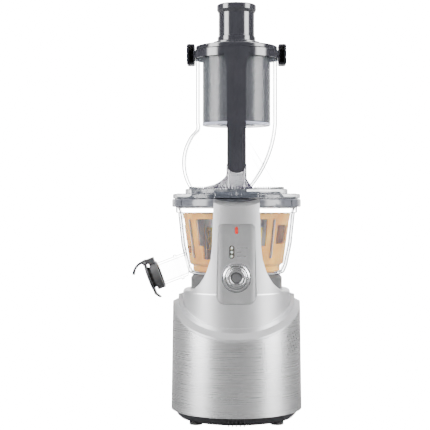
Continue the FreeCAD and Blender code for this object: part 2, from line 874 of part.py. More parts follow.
def make_rotor_core():
    return tube(stator_bore - rotor_gap, motor_shaft_radius + rotor_seat_gap, stator_low_z, stator_high_z,
                motor_x, motor_y)


def make_motor_shaft():
    pinion = gear(stage_one_module, pinion_teeth, 180 + stage_one_angle, stage_one_z,
                  stage_one_z + stage_one_face,
                  motor_x, motor_y)
    shaft = cylinder(motor_shaft_radius, fan_low_z, stage_one_z + 0.5, motor_x, motor_y)
    return shaft.fuse(pinion)


def make_fan():
    hub = tube(9, motor_shaft_radius, fan_low_z, fan_high_z, motor_x, motor_y)
    plate = tube(fan_radius, 8, fan_high_z - 1.5, fan_high_z, motor_x, motor_y)
    blade = block(motor_x + 8, motor_x + fan_radius - 0.5, motor_y - 0.8, motor_y + 0.8, fan_low_z,
                  fan_high_z)
    blades = round_the_axis(blade, fan_blades, motor_x, motor_y)
    return joined([hub, plate] + blades)


def make_capacitor():
    x, y = polar(0, 0, capacitor_ring_radius, capacitor_angle)
    floor = pan_floor_z + pan_wall
    top = floor + capacitor_height
    return turned([(0, floor + fit_gap), (capacitor_radius, floor + fit_gap, 1),
                   (capacitor_radius, top, 1.5), (0, top)],
                  x, y)


# ---- Gears and gearbox ----

def gear_face(module, teeth, phase, play, addendum, dedendum):
    """An involute gear outline in plan, with a tooth centred at the phase angle."""
    pressure = math.radians(25.0)
    pitch = module * teeth / 2
    base = pitch * math.cos(pressure)
    tip = pitch + addendum * module
    root = pitch - dedendum * module
    half_tooth = math.pi / (2 * teeth) - play / pitch
    flat = math.tan(pressure) - pressure

    def half_angle(radius):
        steep = math.acos(min(1.0, base / radius))
        return half_tooth + flat - (math.tan(steep) - steep)

    low = max(base, root)
    levels = [low, (low + pitch) / 2, pitch, (pitch + tip) / 2, tip]
    if root < base:
        levels = [root] + levels
    points = []
    for tooth in range(teeth):
        centre = math.radians(phase) + 2 * math.pi * tooth / teeth
        for radius in levels:
            angle = centre - half_angle(max(radius, low))
            points.append(Vector(radius * math.cos(angle), radius * math.sin(angle), 0))
        for radius in reversed(levels):
            angle = centre + half_angle(max(radius, low))
            points.append(Vector(radius * math.cos(angle), radius * math.sin(angle), 0))
    points.append(points[0])
    return Part.Face(Part.makePolygon(points))


def gear(module, teeth, phase, low, high, x, y):
    face = gear_face(module, teeth, phase, tooth_play, 0.8, 1.0)
    face.translate(Vector(x, y, low))
    return face.extrude(Vector(0, 0, high - low))


def gap_phase(angle, teeth):
    """The phase that puts a gap, not a tooth, at an angle."""
    return angle + 180.0 / teeth


def make_middle_gear():
    """The large first-stage wheel and the second-stage pinion, in one piece."""
    wheel = gear(stage_one_module, stage_one_teeth, gap_phase(stage_one_angle, stage_one_teeth), stage_one_z,
                 stage_one_z + stage_one_face, middle_x, middle_y)
    pinion = gear(stage_two_module, pinion_teeth, 180 + stage_two_angle, stage_one_z + stage_one_face - 0.5,
                  stage_two_z + stage_two_face + 1, middle_x, middle_y)
    return wheel.fuse(pinion).cut(cylinder(middle_axle_radius + running_gap, 60, 140, middle_x, middle_y))


def make_middle_axle():
    return cylinder(middle_axle_radius, gearbox_low_z + 0.5, gearbox_top_z + 2.0, middle_x, middle_y)


gearbox_low_z = motor_high_z + fit_gap


def make_output_gear():
    wheel = gear(stage_two_module, stage_two_teeth, gap_phase(stage_two_angle, stage_two_teeth), stage_two_z,
                 stage_two_z + stage_two_face, 0, drive_y)
    return wheel.cut(cylinder(shaft_radius, 60, 140, 0, drive_y))


def make_drive_shaft():
    top = roof_low_z - 1.0
    lower = cylinder(shaft_radius, stage_two_z - 0.5, top, 0, drive_y)
    spigot = cylinder(spigot_radius, top - 0.5, hex_low_z, 0, drive_y)
    corners = []
    across = hex_flats / 2 / math.cos(math.radians(30))
    for i in range(6):
        turn = math.radians(60 * i + 30)
        corners.append((across * math.cos(turn), across * math.sin(turn) + drive_y))
    hexagon = plan_prism(corners, hex_low_z - 0.5, hex_top_z)
    tip = turned([(0, hex_low_z - 1), (across + 0.1, hex_low_z - 1), (across + 0.1, hex_top_z - 1.5),
                  (across - 1.4, hex_top_z), (0, hex_top_z)], 0, drive_y)
    return joined([lower, spigot, hexagon.common(tip)])


roof_low_z = collar_top_z - collar_recess - housing_wall


def gearbox_outline(grow):
    """Two overlapping rounds: one about the output wheel, one about the first-stage wheel."""
    big = stage_two_module * stage_two_teeth / 2 + 2.2 + grow
    small = stage_one_module * stage_one_teeth / 2 + 2.0 + grow
    return big, small


def make_gearbox():
    big, small = gearbox_outline(gearbox_wall)
    big_in, small_in = gearbox_outline(0)
    low = gearbox_low_z
    floor = low + gearbox_wall
    outer = joined([cylinder(big, low, gearbox_top_z, 0, drive_y),
                    cylinder(small, low, gearbox_top_z, middle_x, middle_y)])
    inner = joined([cylinder(big_in, floor, gearbox_top_z + 1, 0, drive_y),
                    cylinder(small_in, floor, gearbox_top_z + 1, middle_x, middle_y)])
    box = outer.cut(inner)
    box = box.fuse(cylinder(axle_boss_radius, low, stage_one_z - body_gap, middle_x,
                            middle_y)).removeSplitter()
    return box.cut([cylinder(middle_axle_radius, low + 0.5, 130, middle_x, middle_y),
                    cylinder(6.5, low - 1, floor + 1, motor_x, motor_y)])


def make_gearbox_cover():
    big, small = gearbox_outline(gearbox_wall)
    low = gearbox_top_z
    plate = joined([cylinder(big, low, low + 3, 0, drive_y),
                    cylinder(small, low, low + 3, middle_x, middle_y)])
    tower = cylinder(shaft_radius + bearing_wall + 3, low - 3, roof_low_z, 0, drive_y)
    boss = cylinder(axle_boss_radius, stage_two_z + stage_two_face + 1 + body_gap, low + 1, middle_x,
                    middle_y)
    cover = joined([plate, tower, boss])
    return cover.cut([cylinder(shaft_radius + bearing_wall, low - 5, roof_low_z + 5, 0, drive_y),
                      cylinder(middle_axle_radius, 60, low + 2.0, middle_x, middle_y)])


# ---- Juicing bowl, spout, pulp duct ----

def bowl_outer(radius_change):
    """The bowl's outside as (radius, height) corners, from its foot to its rim."""
    r = radius_change
    return [(bowl_foot_radius + r, bowl_floor_z, 2.5), (bowl_bend_radius + r, bowl_bend_z, 3),
            (bowl_waist_radius + r, bowl_waist_z, 20), (bowl_belly_radius + r, bowl_belly_z, 40),
            (bowl_body_radius + r, bowl_top_z)]


def bowl_inner_radius(height):
    """The radius of the bowl's inside at a height between its foot and its neck."""
    places = [(bowl_foot_radius, bowl_floor_z), (bowl_bend_radius, bowl_bend_z),
              (bowl_waist_radius, bowl_waist_z),
              (bowl_belly_radius, bowl_belly_z), (bowl_body_radius, bowl_top_z),
              (bowl_neck_radius, bowl_rim_z)]
    for (r0, z0), (r1, z1) in zip(places, places[1:]):
        if height <= z1:
            return r0 + (r1 - r0) * (height - z0) / (z1 - z0) - bowl_wall
    return bowl_neck_radius - bowl_wall


def make_bowl():
    w = bowl_wall
    rim_low = bowl_rim_z - bowl_rim_height
    floor_top = bowl_floor_z + w
    corners = [(0, bowl_floor_z)] + bowl_outer(0)
    corners += [(bowl_body_radius, bowl_neck_z - 0.5), (bowl_neck_radius, bowl_neck_z, 1),
                (bowl_neck_radius, rim_low), (bowl_rim_radius, rim_low, 1.5),
                (bowl_rim_radius, bowl_rim_z, 1.8),
                (bowl_rim_radius - bowl_rim_wall, bowl_rim_z, 0.8),
                (bowl_rim_radius - bowl_rim_wall, rim_low + 1.5),
                (bowl_neck_radius - w, rim_low - 1.5), (bowl_body_radius - w, bowl_neck_z - 2),
                (bowl_belly_radius - w, bowl_belly_z, 40), (bowl_waist_radius - w, bowl_waist_z + 0.4, 20),
                (bowl_bend_radius - w, floor_top + 1.0, 0.8), (bowl_bend_radius - w - 1.3, floor_top),
                (hub_radius, floor_top, 1), (hub_radius, hub_top_z), (0, hub_top_z)]
    bowl = turned(corners, 0, drive_y)
    bore = cylinder(spigot_radius + hub_bore_gap, 100, 200, 0, drive_y)
    hole = block(-pulp_hole_width / 2, pulp_hole_width / 2, pulp_hole_low_y, pulp_hole_high_y, 150, 160)
    pins = [cylinder(idler_stem_radius, 150, 160, side * idler_distance, drive_y) for side in (-1, 1)]
    mouth = along_spout(cylinder(spout_radius - spout_wall, -20, 20))
    seat_of_spout = along_spout(cylinder(spout_radius + fit_gap, -12, 20))
    bowl = bowl.cut([bore, hole, mouth] + pins)
    grips = []
    for place in round_the_axis(block(bowl_rim_radius - 0.8, bowl_rim_radius + 0.7, drive_y - 5, drive_y + 5,
                                      rim_low + 1.2, bowl_rim_z - 1.5), 3, 0, drive_y, 90):
        grips.append(place)
    bowl = joined([bowl] + grips)
    return bowl.cut(seat_of_spout.cut(bowl_inside()))


idler_distance = bowl_module * (sun_teeth + idler_teeth) / 2


def along_spout(shape):
    """Turns a shape from the vertical axis onto the spout's; its +Z becomes the way out."""
    moved = shape.copy()
    turn = Rotation(Vector(0, 1, 0), -(90.0 + spout_slope))
    moved.Placement = Placement(Vector(spout_start_x, drive_y, spout_start_z), turn).multiply(moved.Placement)
    return moved


def make_spout():
    outer = spout_radius
    bore = spout_radius - spout_wall
    tube_body = tube(outer, bore, -6, spout_length)
    low = 6.0
    band = tube(outer + 1.6, outer - 0.4, low, low + 2.5)
    stiffeners = []
    for side in (-1, 1):
        start = min(side * (outer - 0.5), side * (outer + 1.6))
        stiffeners.append(block(-1.0, 1.0, start, start + 2.1, low + 1, spout_length - cap_ring_length))
    spout = along_spout(joined([tube_body, band] + stiffeners))
    return spout.cut(bowl_inside())


def bowl_inside():
    """The lower part of the bowl's inside, where the spout opens into it."""
    w = bowl_wall
    waist = bowl_waist_radius - w
    return turned([(0, deck_z), (waist, deck_z), (waist, bowl_waist_z), (bowl_belly_radius - w, bowl_belly_z),
                   (0, bowl_belly_z)], 0, drive_y)


def make_spout_collar():
    low = spout_length - cap_ring_length + 1.5
    ring = tube(cap_ring_radius, spout_radius + fit_gap, low, low + cap_ring_length)
    ears = []
    for side in (-1, 1):
        inner = side * 5.5
        y_low = min(inner, side * 8.0)
        ears.append(block(cap_ring_radius - 1.5, cap_ear_reach, y_low, y_low + 2.5, low + 1.5,
                          low + cap_ring_length))
        ears.append(block(cap_ring_radius - 0.4, cap_ear_reach, y_low, y_low + 2.5, low + 1.5,
                          hinge_along + 2.6))
    collar = joined([ring] + ears)
    pin_hole = Part.makeCylinder(cap_pin_radius, 30, Vector(cap_hinge_out, -15, hinge_along), Vector(0, 1, 0))
    lip = tube(spout_radius + 0.2, spout_radius - spout_wall, low + cap_ring_length - 1.4,
               low + cap_ring_length)
    lip = lip.cut(cylinder(spout_radius + fit_gap, 0, spout_length + 0.1))
    return along_spout(joined([collar, lip]).cut(pin_hole))


hinge_along = spout_length + 5.0
cap_ear_reach = cap_hinge_out + 2.6


def make_cap_pin():
    pin = Part.makeCylinder(cap_pin_radius, 16.4, Vector(cap_hinge_out, -8.2, hinge_along), Vector(0, 1, 0))
    return along_spout(pin)


def make_juice_cap():
    """The flap with its knuckle, tail and thumb lever."""
    low = spout_length + 1.5 + cap_gap
    high = low + cap_plate
    plate = cylinder(cap_ring_radius - 0.6, low, high)
    arm = block(cap_ring_radius - 4, cap_hinge_out + 1, -4.2, 4.2, low, high)
    knuckle = Part.makeCylinder(3.2, 10.4, Vector(cap_hinge_out, -5.2, hinge_along), Vector(0, 1, 0))
    bridge = block(cap_hinge_out - 1.5, cap_hinge_out + 2.5, -4.2, 4.2, hinge_along, high)
    tail_face = [(-cap_ring_radius + 3, high - cap_plate), (-cap_ring_radius + 3, high),
                 (-cap_ring_radius - 3, high),
                 (-cap_ring_radius - 8.5, high - 4.0, 2), (-cap_ring_radius - 8.5, high - 6.0),
                 (-cap_ring_radius - 2.5, high - cap_plate)]
    tail = front_prism(tail_face, -5, 5)
    start = Vector(cap_hinge_out + 2.6, 0, high - 0.6)
    lever_face = lever_outline(start)
    lever_face.translate(Vector(0, -lever_width / 2, 0))
    lever = lever_face.extrude(Vector(0, lever_width, 0))
    body = joined([plate, arm, knuckle, bridge, tail, lever])
    bore = Part.makeCylinder(cap_pin_radius + running_gap, 30, Vector(cap_hinge_out, -15, hinge_along),
                             Vector(0, 1, 0))
    return along_spout(body.cut(bore))


def lever_outline(start):
    """The thumb lever's side outline: a curved blade that sweeps out and down."""
    thick = 2.6
    x = start.x
    z = start.z
    outer = Part.Arc(Vector(x, 0, z - 1.5), Vector(x - 2.0, 0, z + 8.5),
                     Vector(x - 10.0, 0, z + 15.5)).toShape()
    tip = Part.LineSegment(Vector(x - 10.0, 0, z + 15.5), Vector(x - 11.2, 0, z + 13.4)).toShape()
    inner = Part.Arc(Vector(x - 11.2, 0, z + 13.4), Vector(x - 2.0 - thick * 0.9, 0, z + 7.4),
                     Vector(x - thick - 1.0, 0, z - 1.5)).toShape()
    close = Part.LineSegment(Vector(x - thick - 1.0, 0, z - 1.5), Vector(x, 0, z - 1.5)).toShape()
    return Part.Face(Part.Wire([outer, tip, inner, close]))


def make_cap_seal():
    low = spout_length + 1.5 + 0.3
    high = spout_length + 1.5 + cap_gap
    disc = turned([(0, low), (spout_radius - spout_wall + 1.2, low, 0.8),
                   (spout_radius - spout_wall + 1.6, high),
                   (0, high)])
    return along_spout(disc)


def make_pulp_duct():
    half = duct_width / 2
    high = bowl_floor_z - fit_gap
    low = duct_low_z
    start = pulp_hole_low_y - duct_wall
    outer = block(-half, half, start, duct_end_y, low, high)
    inner = block(-half + duct_wall, half - duct_wall, start + duct_wall, duct_end_y + 1, low + duct_wall,
                  high - duct_wall)
    mouth = block(-pulp_hole_width / 2, pulp_hole_width / 2, pulp_hole_low_y, pulp_hole_high_y,
                  low + duct_wall,
                  high + 1)
    rim = block(-half - 1.5, half + 1.5, duct_end_y - 3, duct_end_y, low, high + 1.5)
    rim = rim.cut(block(-half + duct_wall, half - duct_wall, 0, duct_end_y + 1, low + duct_wall,
                        high - duct_wall))
    return joined([outer.cut([inner, mouth]), rim])


def make_bowl_seal():
    """The lip seal on the hub, round the drive shaft."""
    corners = [(spigot_radius + running_gap, hub_top_z + 1.2),
               (spigot_radius + running_gap, hub_top_z + seal_height),
               (hub_radius - 1, hub_top_z + seal_height, 0.6), (hub_radius, hub_top_z + 0.05),
               (spigot_radius + 1.2, hub_top_z + 0.05)]
    return turned(corners, 0, drive_y)


def make_idler_pins():
    pins = []
    for side in (-1, 1):
        x = side * idler_distance
        shank = cylinder(idler_pin_radius, bowl_floor_z + bowl_wall, bowl_gear_z + bowl_gear_face, x, drive_y)
        stem = cylinder(idler_stem_radius, bowl_floor_z + 0.5, bowl_gear_z, x, drive_y)
        head_low = bowl_gear_z + bowl_gear_face + body_gap
        head = turned([(0, head_low - 1), (idler_pin_radius, head_low - 1), (idler_pin_radius, head_low),
                       (idler_pin_radius + 1.3, head_low), (idler_pin_radius + 1.3, head_low + 1.2, 0.4),
                       (0, head_low + 1.2)], x, drive_y)
        pins.append(joined([shank, stem, head]))
    return Part.makeCompound(pins)


def make_idler(side):
    """One idler; side is 1 on the right of the drive axis and -1 on its left."""
    facing = 180.0 if side > 0 else 0.0
    x = side * idler_distance
    wheel = gear(bowl_module, idler_teeth, gap_phase(facing, idler_teeth), bowl_gear_z,
                 bowl_gear_z + bowl_gear_face, x, drive_y)
    return wheel.cut(cylinder(idler_pin_radius + running_gap, 100, 200, x, drive_y))


# ---- Strainer, wiper and auger ----

def strainer_radius(height):
    share = (height - strainer_low_z) / (strainer_high_z - strainer_low_z)
    return strainer_low_radius + (strainer_high_radius - strainer_low_radius) * share


def strainer_shell(low, high, outset, wall):
    """A conical shell that follows the strainer; outset moves its outside."""
    r0 = strainer_radius(low) + outset
    r1 = strainer_radius(high) + outset
    return turned([(r0 - wall, low), (r0, low), (r1, high), (r1 - wall, high)], 0, drive_y)


def make_strainer_frame():
    low = strainer_low_z
    shell = strainer_shell(low, strainer_high_z, 0, strainer_wall)
    r = strainer_low_radius
    base = turned([(sun_hole_radius, low - 0.1), (r, low - 0.1), (r, low + 2), (sun_hole_radius, low + 2)],
                  0, drive_y)
    top = strainer_radius(strainer_high_z)
    rim = turned([(top - strainer_wall, strainer_high_z - strainer_rim_height),
                  (top + 0.8, strainer_high_z - strainer_rim_height),
                  (top + 1.2, strainer_high_z, 0.8), (top - strainer_wall, strainer_high_z)], 0, drive_y)
    ribs = round_the_axis(block(strainer_low_radius - 1, strainer_low_radius + 1.2, drive_y - 0.7,
                                drive_y + 0.7,
                                low + 0.5, mesh_low_z - 1), strainer_ribs, 0, drive_y, 180.0 / strainer_ribs)
    hw = pulp_hole_width / 2
    chute = block(-hw, hw, pulp_hole_low_y, pulp_hole_high_y, bowl_floor_z + bowl_wall + 0.05, low + 1)
    w = chute_wall
    chute = chute.cut(block(-hw + w, hw - w, pulp_hole_low_y + w, pulp_hole_high_y - w, 100, 200))
    frame = joined([shell, base, rim] + ribs)
    hole = block(-hw + w, hw - w, pulp_hole_low_y + w, pulp_hole_high_y - w, low - 1, low + 3)
    frame = joined([frame.cut(hole), chute])
    windows = []
    half = math.pi * strainer_radius((mesh_low_z + mesh_high_z) / 2) / strainer_windows - 1.2
    for window in round_the_axis(block(20, 60, drive_y - half, drive_y + half, mesh_low_z, mesh_high_z),
                                 strainer_windows, 0, drive_y, 15):
        windows.append(window)
    return frame.cut(windows)


sun_hole_radius = bowl_module * sun_teeth / 2 + bowl_module + 1.0


def make_strainer_mesh():
    outset = -strainer_wall - fit_gap
    mesh = strainer_shell(mesh_low_z - 3, mesh_high_z + 3, outset, mesh_wall)
    return mesh


def wiper_radius(height):
    share = (height - bowl_gear_z) / (wiper_top_z - bowl_gear_z)
    return wiper_low_radius + (wiper_high_radius - wiper_low_radius) * share


def make_wiper():
    low = bowl_gear_z
    gear_top = low + bowl_gear_face
    inner_teeth = gear_face(bowl_module, ring_teeth, 180.0 / ring_teeth, -tooth_play, 1.0, 0.8)
    inner_teeth.translate(Vector(0, drive_y, low - 1))
    toothed_hole = inner_teeth.extrude(Vector(0, 0, bowl_gear_face + 2))
    ring = turned([(0, low), (wiper_foot_radius - 1.5, low), (wiper_foot_radius, low + 1.5),
                   (wiper_foot_radius, gear_top), (0, gear_top)], 0, drive_y)
    ring = ring.cut(toothed_hole)
    w = wiper_wall
    base_high = gear_top + 3
    base = turned([(wiper_foot_radius - 3.5, gear_top - 2), (wiper_foot_radius, gear_top - 2),
                   (wiper_radius(gear_top + 1), gear_top + 1), (wiper_radius(base_high), base_high),
                   (wiper_radius(base_high) - w, base_high), (wiper_foot_radius - 3.5, gear_top + 1)], 0,
                   drive_y)
    shell = turned([(wiper_radius(gear_top + 1) - w, gear_top + 1),
                    (wiper_radius(gear_top + 1), gear_top + 1),
                    (wiper_radius(wiper_top_z), wiper_top_z), (wiper_radius(wiper_top_z) - w, wiper_top_z)],
                   0, drive_y)
    windows = []
    for start, end, z_low, z_high in wiper_windows:
        for front in front_and_back:
            windows.append(wedge(30, 70, front + start, front + end, z_low, z_high))
    cage = shell.cut(windows)
    cage = joined([ring, base, cage])
    slots = [blade_slab(angle, blade_thickness / 2 + 0.05) for angle in blade_turns()]
    return cage.cut(slots)


front_and_back = (270.0, 90.0)


def blade_turns():
    return [front + angle for front in front_and_back for angle in blade_angles]


def wedge(inner, outer, start, end, low, high):
    """A block between two angles about the drive axis."""
    steps = max(2, int((end - start) / 15))
    turns = [start + (end - start) * i / steps for i in range(steps + 1)]
    corners = [polar(0, drive_y, outer, turn) for turn in turns]
    corners += [polar(0, drive_y, inner, turn) for turn in reversed(turns)]
    return plan_prism(corners, low, high)


def blade_slab(angle, half):
    """The thin upright plane that one silicone blade fills."""
    slab = block(wiper_foot_radius - 0.5, 70, drive_y - half, drive_y + half, blade_low_z, blade_high_z)
    slab.rotate(Vector(0, drive_y, 0), Vector(0, 0, 1), angle)
    return slab


def make_wiper_blades():
    """Four silicone blades: each is held in the cage and reaches towards both walls."""
    blades = []
    low = blade_low_z + body_gap
    high = blade_high_z - body_gap
    for angle in blade_turns():
        corners = [(strainer_radius(low) + blade_mesh_gap, low),
                   (bowl_inner_radius(low) - blade_wall_gap, low, 1),
                   (bowl_inner_radius(high) - blade_wall_gap, high, 1),
                   (strainer_radius(high) + blade_mesh_gap, high)]
        blade = front_prism(corners, -blade_thickness / 2, blade_thickness / 2)
        blade.translate(Vector(0, drive_y, 0))
        blade.rotate(Vector(0, drive_y, 0), Vector(0, 0, 1), angle)
        blades.append(blade)
    return Part.makeCompound(blades)


def make_auger():
    gear_low = bowl_gear_z
    neck_top = strainer_low_z + 2.6
    sun = gear(bowl_module, sun_teeth, 0.0, gear_low, gear_low + bowl_gear_face, 0, drive_y)
    root = bowl_module * sun_teeth / 2 - bowl_module
    corners = [(0, gear_low + 1), (root, gear_low + 1), (root, neck_top), (auger_core_low, neck_top),
               (auger_core_low, neck_top + 9), (auger_core_high + 4, 200, 30),
               (auger_core_high, auger_top_z - 6, 4),
               (auger_pin_radius + 3, auger_top_z), (auger_pin_radius, auger_top_z),
               (auger_pin_radius, auger_pin_top, 1), (0, auger_pin_top)]
    core = turned(corners, 0, drive_y)
    flights = []
    low = neck_top + 0.4
    height = flight_top_z - low
    for start in (0, 180):
        flights.append(flight(low, height, start))
    body = core.fuse(sun)
    for ridge in flights:
        body = body.fuse(ridge)
    socket = cylinder(hub_radius + 1.0, 100, hub_top_z + seal_height + body_gap, 0, drive_y)
    insert = cylinder(hub_radius, 100, hex_top_z + 3, 0, drive_y)
    return body.cut([socket, insert])


def flight(low, height, start):
    """One helical ridge of the auger, from the core out to its working radius."""
    helix = Part.makeHelix(flight_pitch, height, auger_radius - 6)
    inner = auger_core_high - 1
    outer = auger_radius + 1
    half = flight_width / 2
    profile = Part.makePolygon([Vector(inner, 0, -half * 1.6), Vector(outer, 0, -half * 0.7),
                                Vector(outer, 0, half * 0.7), Vector(inner, 0, half * 1.6),
                                Vector(inner, 0, -half * 1.6)])
    ridge = Part.Wire(helix.Edges).makePipeShell([Part.Wire(profile.Edges)], True, True)
    ridge.rotate(Vector(0, 0, 0), Vector(0, 0, 1), start)
    ridge.translate(Vector(0, drive_y, low))
    limit = cylinder(auger_radius, low - 0.2, low + height - 2.0, 0, drive_y)
    return ridge.common(limit)


def make_drive_insert():
    """The metal hexagon socket moulded into the auger."""
    low = hub_top_z + seal_height + body_gap + 0.2
    high = hex_top_z + 3
    across = (hex_flats / 2 + running_gap) / math.cos(math.radians(30))
    corners = []
    for i in range(6):
        turn = math.radians(60 * i + 30)
        corners.append((across * math.cos(turn), across * math.sin(turn) + drive_y))
    hexagon = plan_prism(corners, low - 1, hex_top_z + 1.0)
    body = cylinder(hub_radius - 0.02, low, high, 0, drive_y)
    return body.cut([hexagon, cylinder(spigot_radius + running_gap, low - 1, hex_low_z + 0.5, 0, drive_y)])


# ---- Hopper ----

def make_hopper_base():
    """The clear lid of the bowl: a flange for the hopper, a wide ring and a short spigot."""
    under = bowl_rim_z + body_gap
    spigot = bowl_rim_radius - bowl_rim_wall - body_gap
    corners = [(0, under), (spigot - lid_collar_wall, under), (spigot - lid_collar_wall, under - 5),
               (spigot, under - 5, 0.5), (spigot, under),
               (ring_radius, under, 0.8), (ring_radius, ring_top_z, 1.6), (flange_radius + 0.4, ring_top_z),
               (flange_radius, ring_top_z + 0.5), (flange_radius, flange_top_z, 1.4), (0, flange_top_z)]
    disc = turned(corners, 0, drive_y)
    feed = cylinder(feed_radius, 200, 300, feed_x, drive_y)
    hub = cylinder(bush_radius + bush_wall, 200, 300, 0, drive_y)
    arm = block(0, 20, drive_y - 4, drive_y + 4, 200, 300)
    feed = feed.cut(hub).cut(arm)
    under_room = turned([(0, 200), (spigot - lid_collar_wall, 200),
                         (spigot - lid_collar_wall, ring_top_z - lid_wall),
                         (flange_radius - 4, ring_top_z - lid_wall),
                         (flange_radius - 8, flange_top_z - lid_wall), (0, flange_top_z - lid_wall)], 0,
                         drive_y)
    shell = disc.cut(under_room)
    boss = cylinder(bush_radius + bush_wall, under - 2, flange_top_z - 3, 0, drive_y)
    rib = block(0, 40, drive_y - 2, drive_y + 2, under + 1.5, flange_top_z - 3)
    collar = tube(feed_radius + lid_collar_wall, feed_radius, under - 1, flange_top_z - 3, feed_x, drive_y)
    collar = collar.cut([hub, arm]).common(cylinder(spigot - 3.5, 200, 300, 0, drive_y))
    body = joined([shell, boss, rib, collar]).cut(feed)
    groove = tube(spigot + 1, spigot - 1.2, under - 3.6, under - 1.6, 0, drive_y)
    return body.cut([groove, cylinder(bush_radius, 200, flange_top_z - 3.1, 0, drive_y)])


bush_radius = 7.2
tab_back_y = drive_y - flange_radius - 1.5


def make_bush():
    """The plain bearing in the lid that steadies the top of the auger."""
    low = bowl_rim_z + body_gap - 2
    return cylinder(bush_radius - 0.02, low, flange_top_z - 3.1, 0, drive_y).cut(
        cylinder(auger_pin_radius + running_gap, low - 1, auger_pin_top + 1.0, 0, drive_y))


def make_lid_seal():
    under = bowl_rim_z + body_gap
    spigot = bowl_rim_radius - bowl_rim_wall - body_gap
    return turned([(spigot - 1.15, under - 3.5), (spigot + 0.05, under - 3.5, 0.3),
                   (spigot + 0.05, under - 1.7, 0.3),
                   (spigot - 1.15, under - 1.7)], 0, drive_y)


def make_lock_tab():
    """The plate on the hopper's front that shows where it locks over the column."""
    outline = [(-tab_half_width, tab_back_y - 0.1), (-tab_half_width, tab_front_y + 3, 2.5),
               (-10, tab_front_y, 8), (10, tab_front_y, 8), (tab_half_width, tab_front_y + 3, 2.5),
               (tab_half_width, tab_back_y - 0.1)]
    plate = plan_prism(outline, tab_low_z, tab_high_z)
    slope = side_prism([(tab_front_y - 2, tab_high_z - 4.5), (tab_front_y + 6, tab_high_z), (0, tab_high_z),
                        (0, 300), (tab_front_y - 2, 300)], 40)
    return plate.cut([slope, cylinder(ring_radius + fit_gap, 200, ring_top_z + 0.05, 0, drive_y)])


def smooth_step(low, high, value):
    share = min(1.0, max(0.0, (value - low) / (high - low)))
    return share * share * (3 - 2 * share)


def hopper_section(height):
    """The centre and radius of the hopper's round section at one height."""
    fall = bulge_radius ** 2 - (height - bulge_z) ** 2
    bulge = bulge_x - math.sqrt(max(0.0, fall))
    share = smooth_step(hopper_blend_z, hopper_straight_z, height)
    left = bulge * (1 - share) - hopper_radius * share
    drop = max(0.0, right_arc_z - height)
    right = hopper_radius - (right_arc_radius - math.sqrt(right_arc_radius ** 2 - drop ** 2))
    return (left + right) / 2, (right - left) / 2


def hopper_solid(inset):
    """The hopper as a solid; inset makes its inside."""
    heights = [flange_top_z, 250, 256, 263, 271, 280, 289, 297, 304, 309, 313, hopper_straight_z]
    if inset > 0:
        heights[0] = flange_top_z - 1.0
    wires = []
    for height in heights:
        x, radius = hopper_section(height)
        wires.append(Part.Wire(Part.makeCircle(radius - inset, Vector(x, drive_y, height))))
    bulb = Part.makeLoft(wires, True, False)
    top = hopper_top_z + (1 if inset > 0 else 0)
    straight = cylinder(hopper_section(hopper_straight_z)[1] - inset, hopper_straight_z, top,
                        hopper_section(hopper_straight_z)[0], drive_y)
    return bulb.fuse(straight)


def make_hopper_body():
    return hopper_solid(0).cut(hopper_solid(hopper_wall))


def make_gusset():
    """The clear rib that stiffens the hopper's back against its flange."""
    low = flange_top_z + 0.05
    web = front_prism([(0, low), (0, 304), (3.5, 302, 2), (38, low + 4, 3), (38, low)], -1.5, 1.5)
    edge = front_prism([(0.5, 304), (3.5, 302, 2), (38, low + 4, 3), (38, low), (33, low), (0, 296)], -3.0,
                       3.0)
    rib = web.fuse(edge)
    rib.rotate(Vector(0, 0, 0), Vector(0, 0, 1), -20)
    rib.translate(Vector(8, 51.0, 0))
    rib = rib.cut(hopper_solid(-fit_gap))
    rib = rib.common(cylinder(flange_radius + 4, 200, 400, 0, drive_y))
    solids = sorted(rib.Solids, key=lambda solid: -solid.Volume)
    return solids[0]


def make_hopper_collar():
    """The dark ring round the hopper's top, with two hollow ears and the bar's bridge."""
    top = hopper_top_z - 0.1
    inner = hopper_radius + fit_gap
    outer = inner + hopper_collar_wall
    ring = tube(outer, inner, hopper_collar_low_z, top, 0, drive_y)
    ears = []
    for side in (-1, 1):
        x_low = min(side * (hopper_radius + 0.6), side * ear_reach)
        reach = ear_reach - hopper_radius - 0.6
        outline = [(x_low, ear_low_z, 2), (x_low + reach, ear_low_z, 2), (x_low + reach, ear_high_z, 2),
                   (x_low, ear_high_z, 2)]
        ear = front_prism(outline, drive_y - ear_depth / 2, drive_y + ear_depth / 2)
        hollow_low = x_low + (1.8 if side > 0 else 2.2)
        hollow = block(hollow_low, hollow_low + reach - 4.0, drive_y - ear_depth / 2 - 1,
                       drive_y + ear_depth / 2 - 2.0, ear_low_z + 2.2, ear_high_z - 2.2)
        ears.append(ear.cut(hollow))
    back_y = bar_front_y + bar_depth
    bridge = plan_prism([(-bar_flare, drive_y - hopper_radius + 4), (-bar_flare, back_y - 1),
                         (bar_flare, back_y - 1),
                         (bar_flare, drive_y - hopper_radius + 4)], hopper_collar_low_z, top)
    collar = joined([ring, bridge] + ears)
    collar = collar.cut(cylinder(inner, 300, 420, 0, drive_y))
    return collar.cut(make_bar_solid(fit_gap))


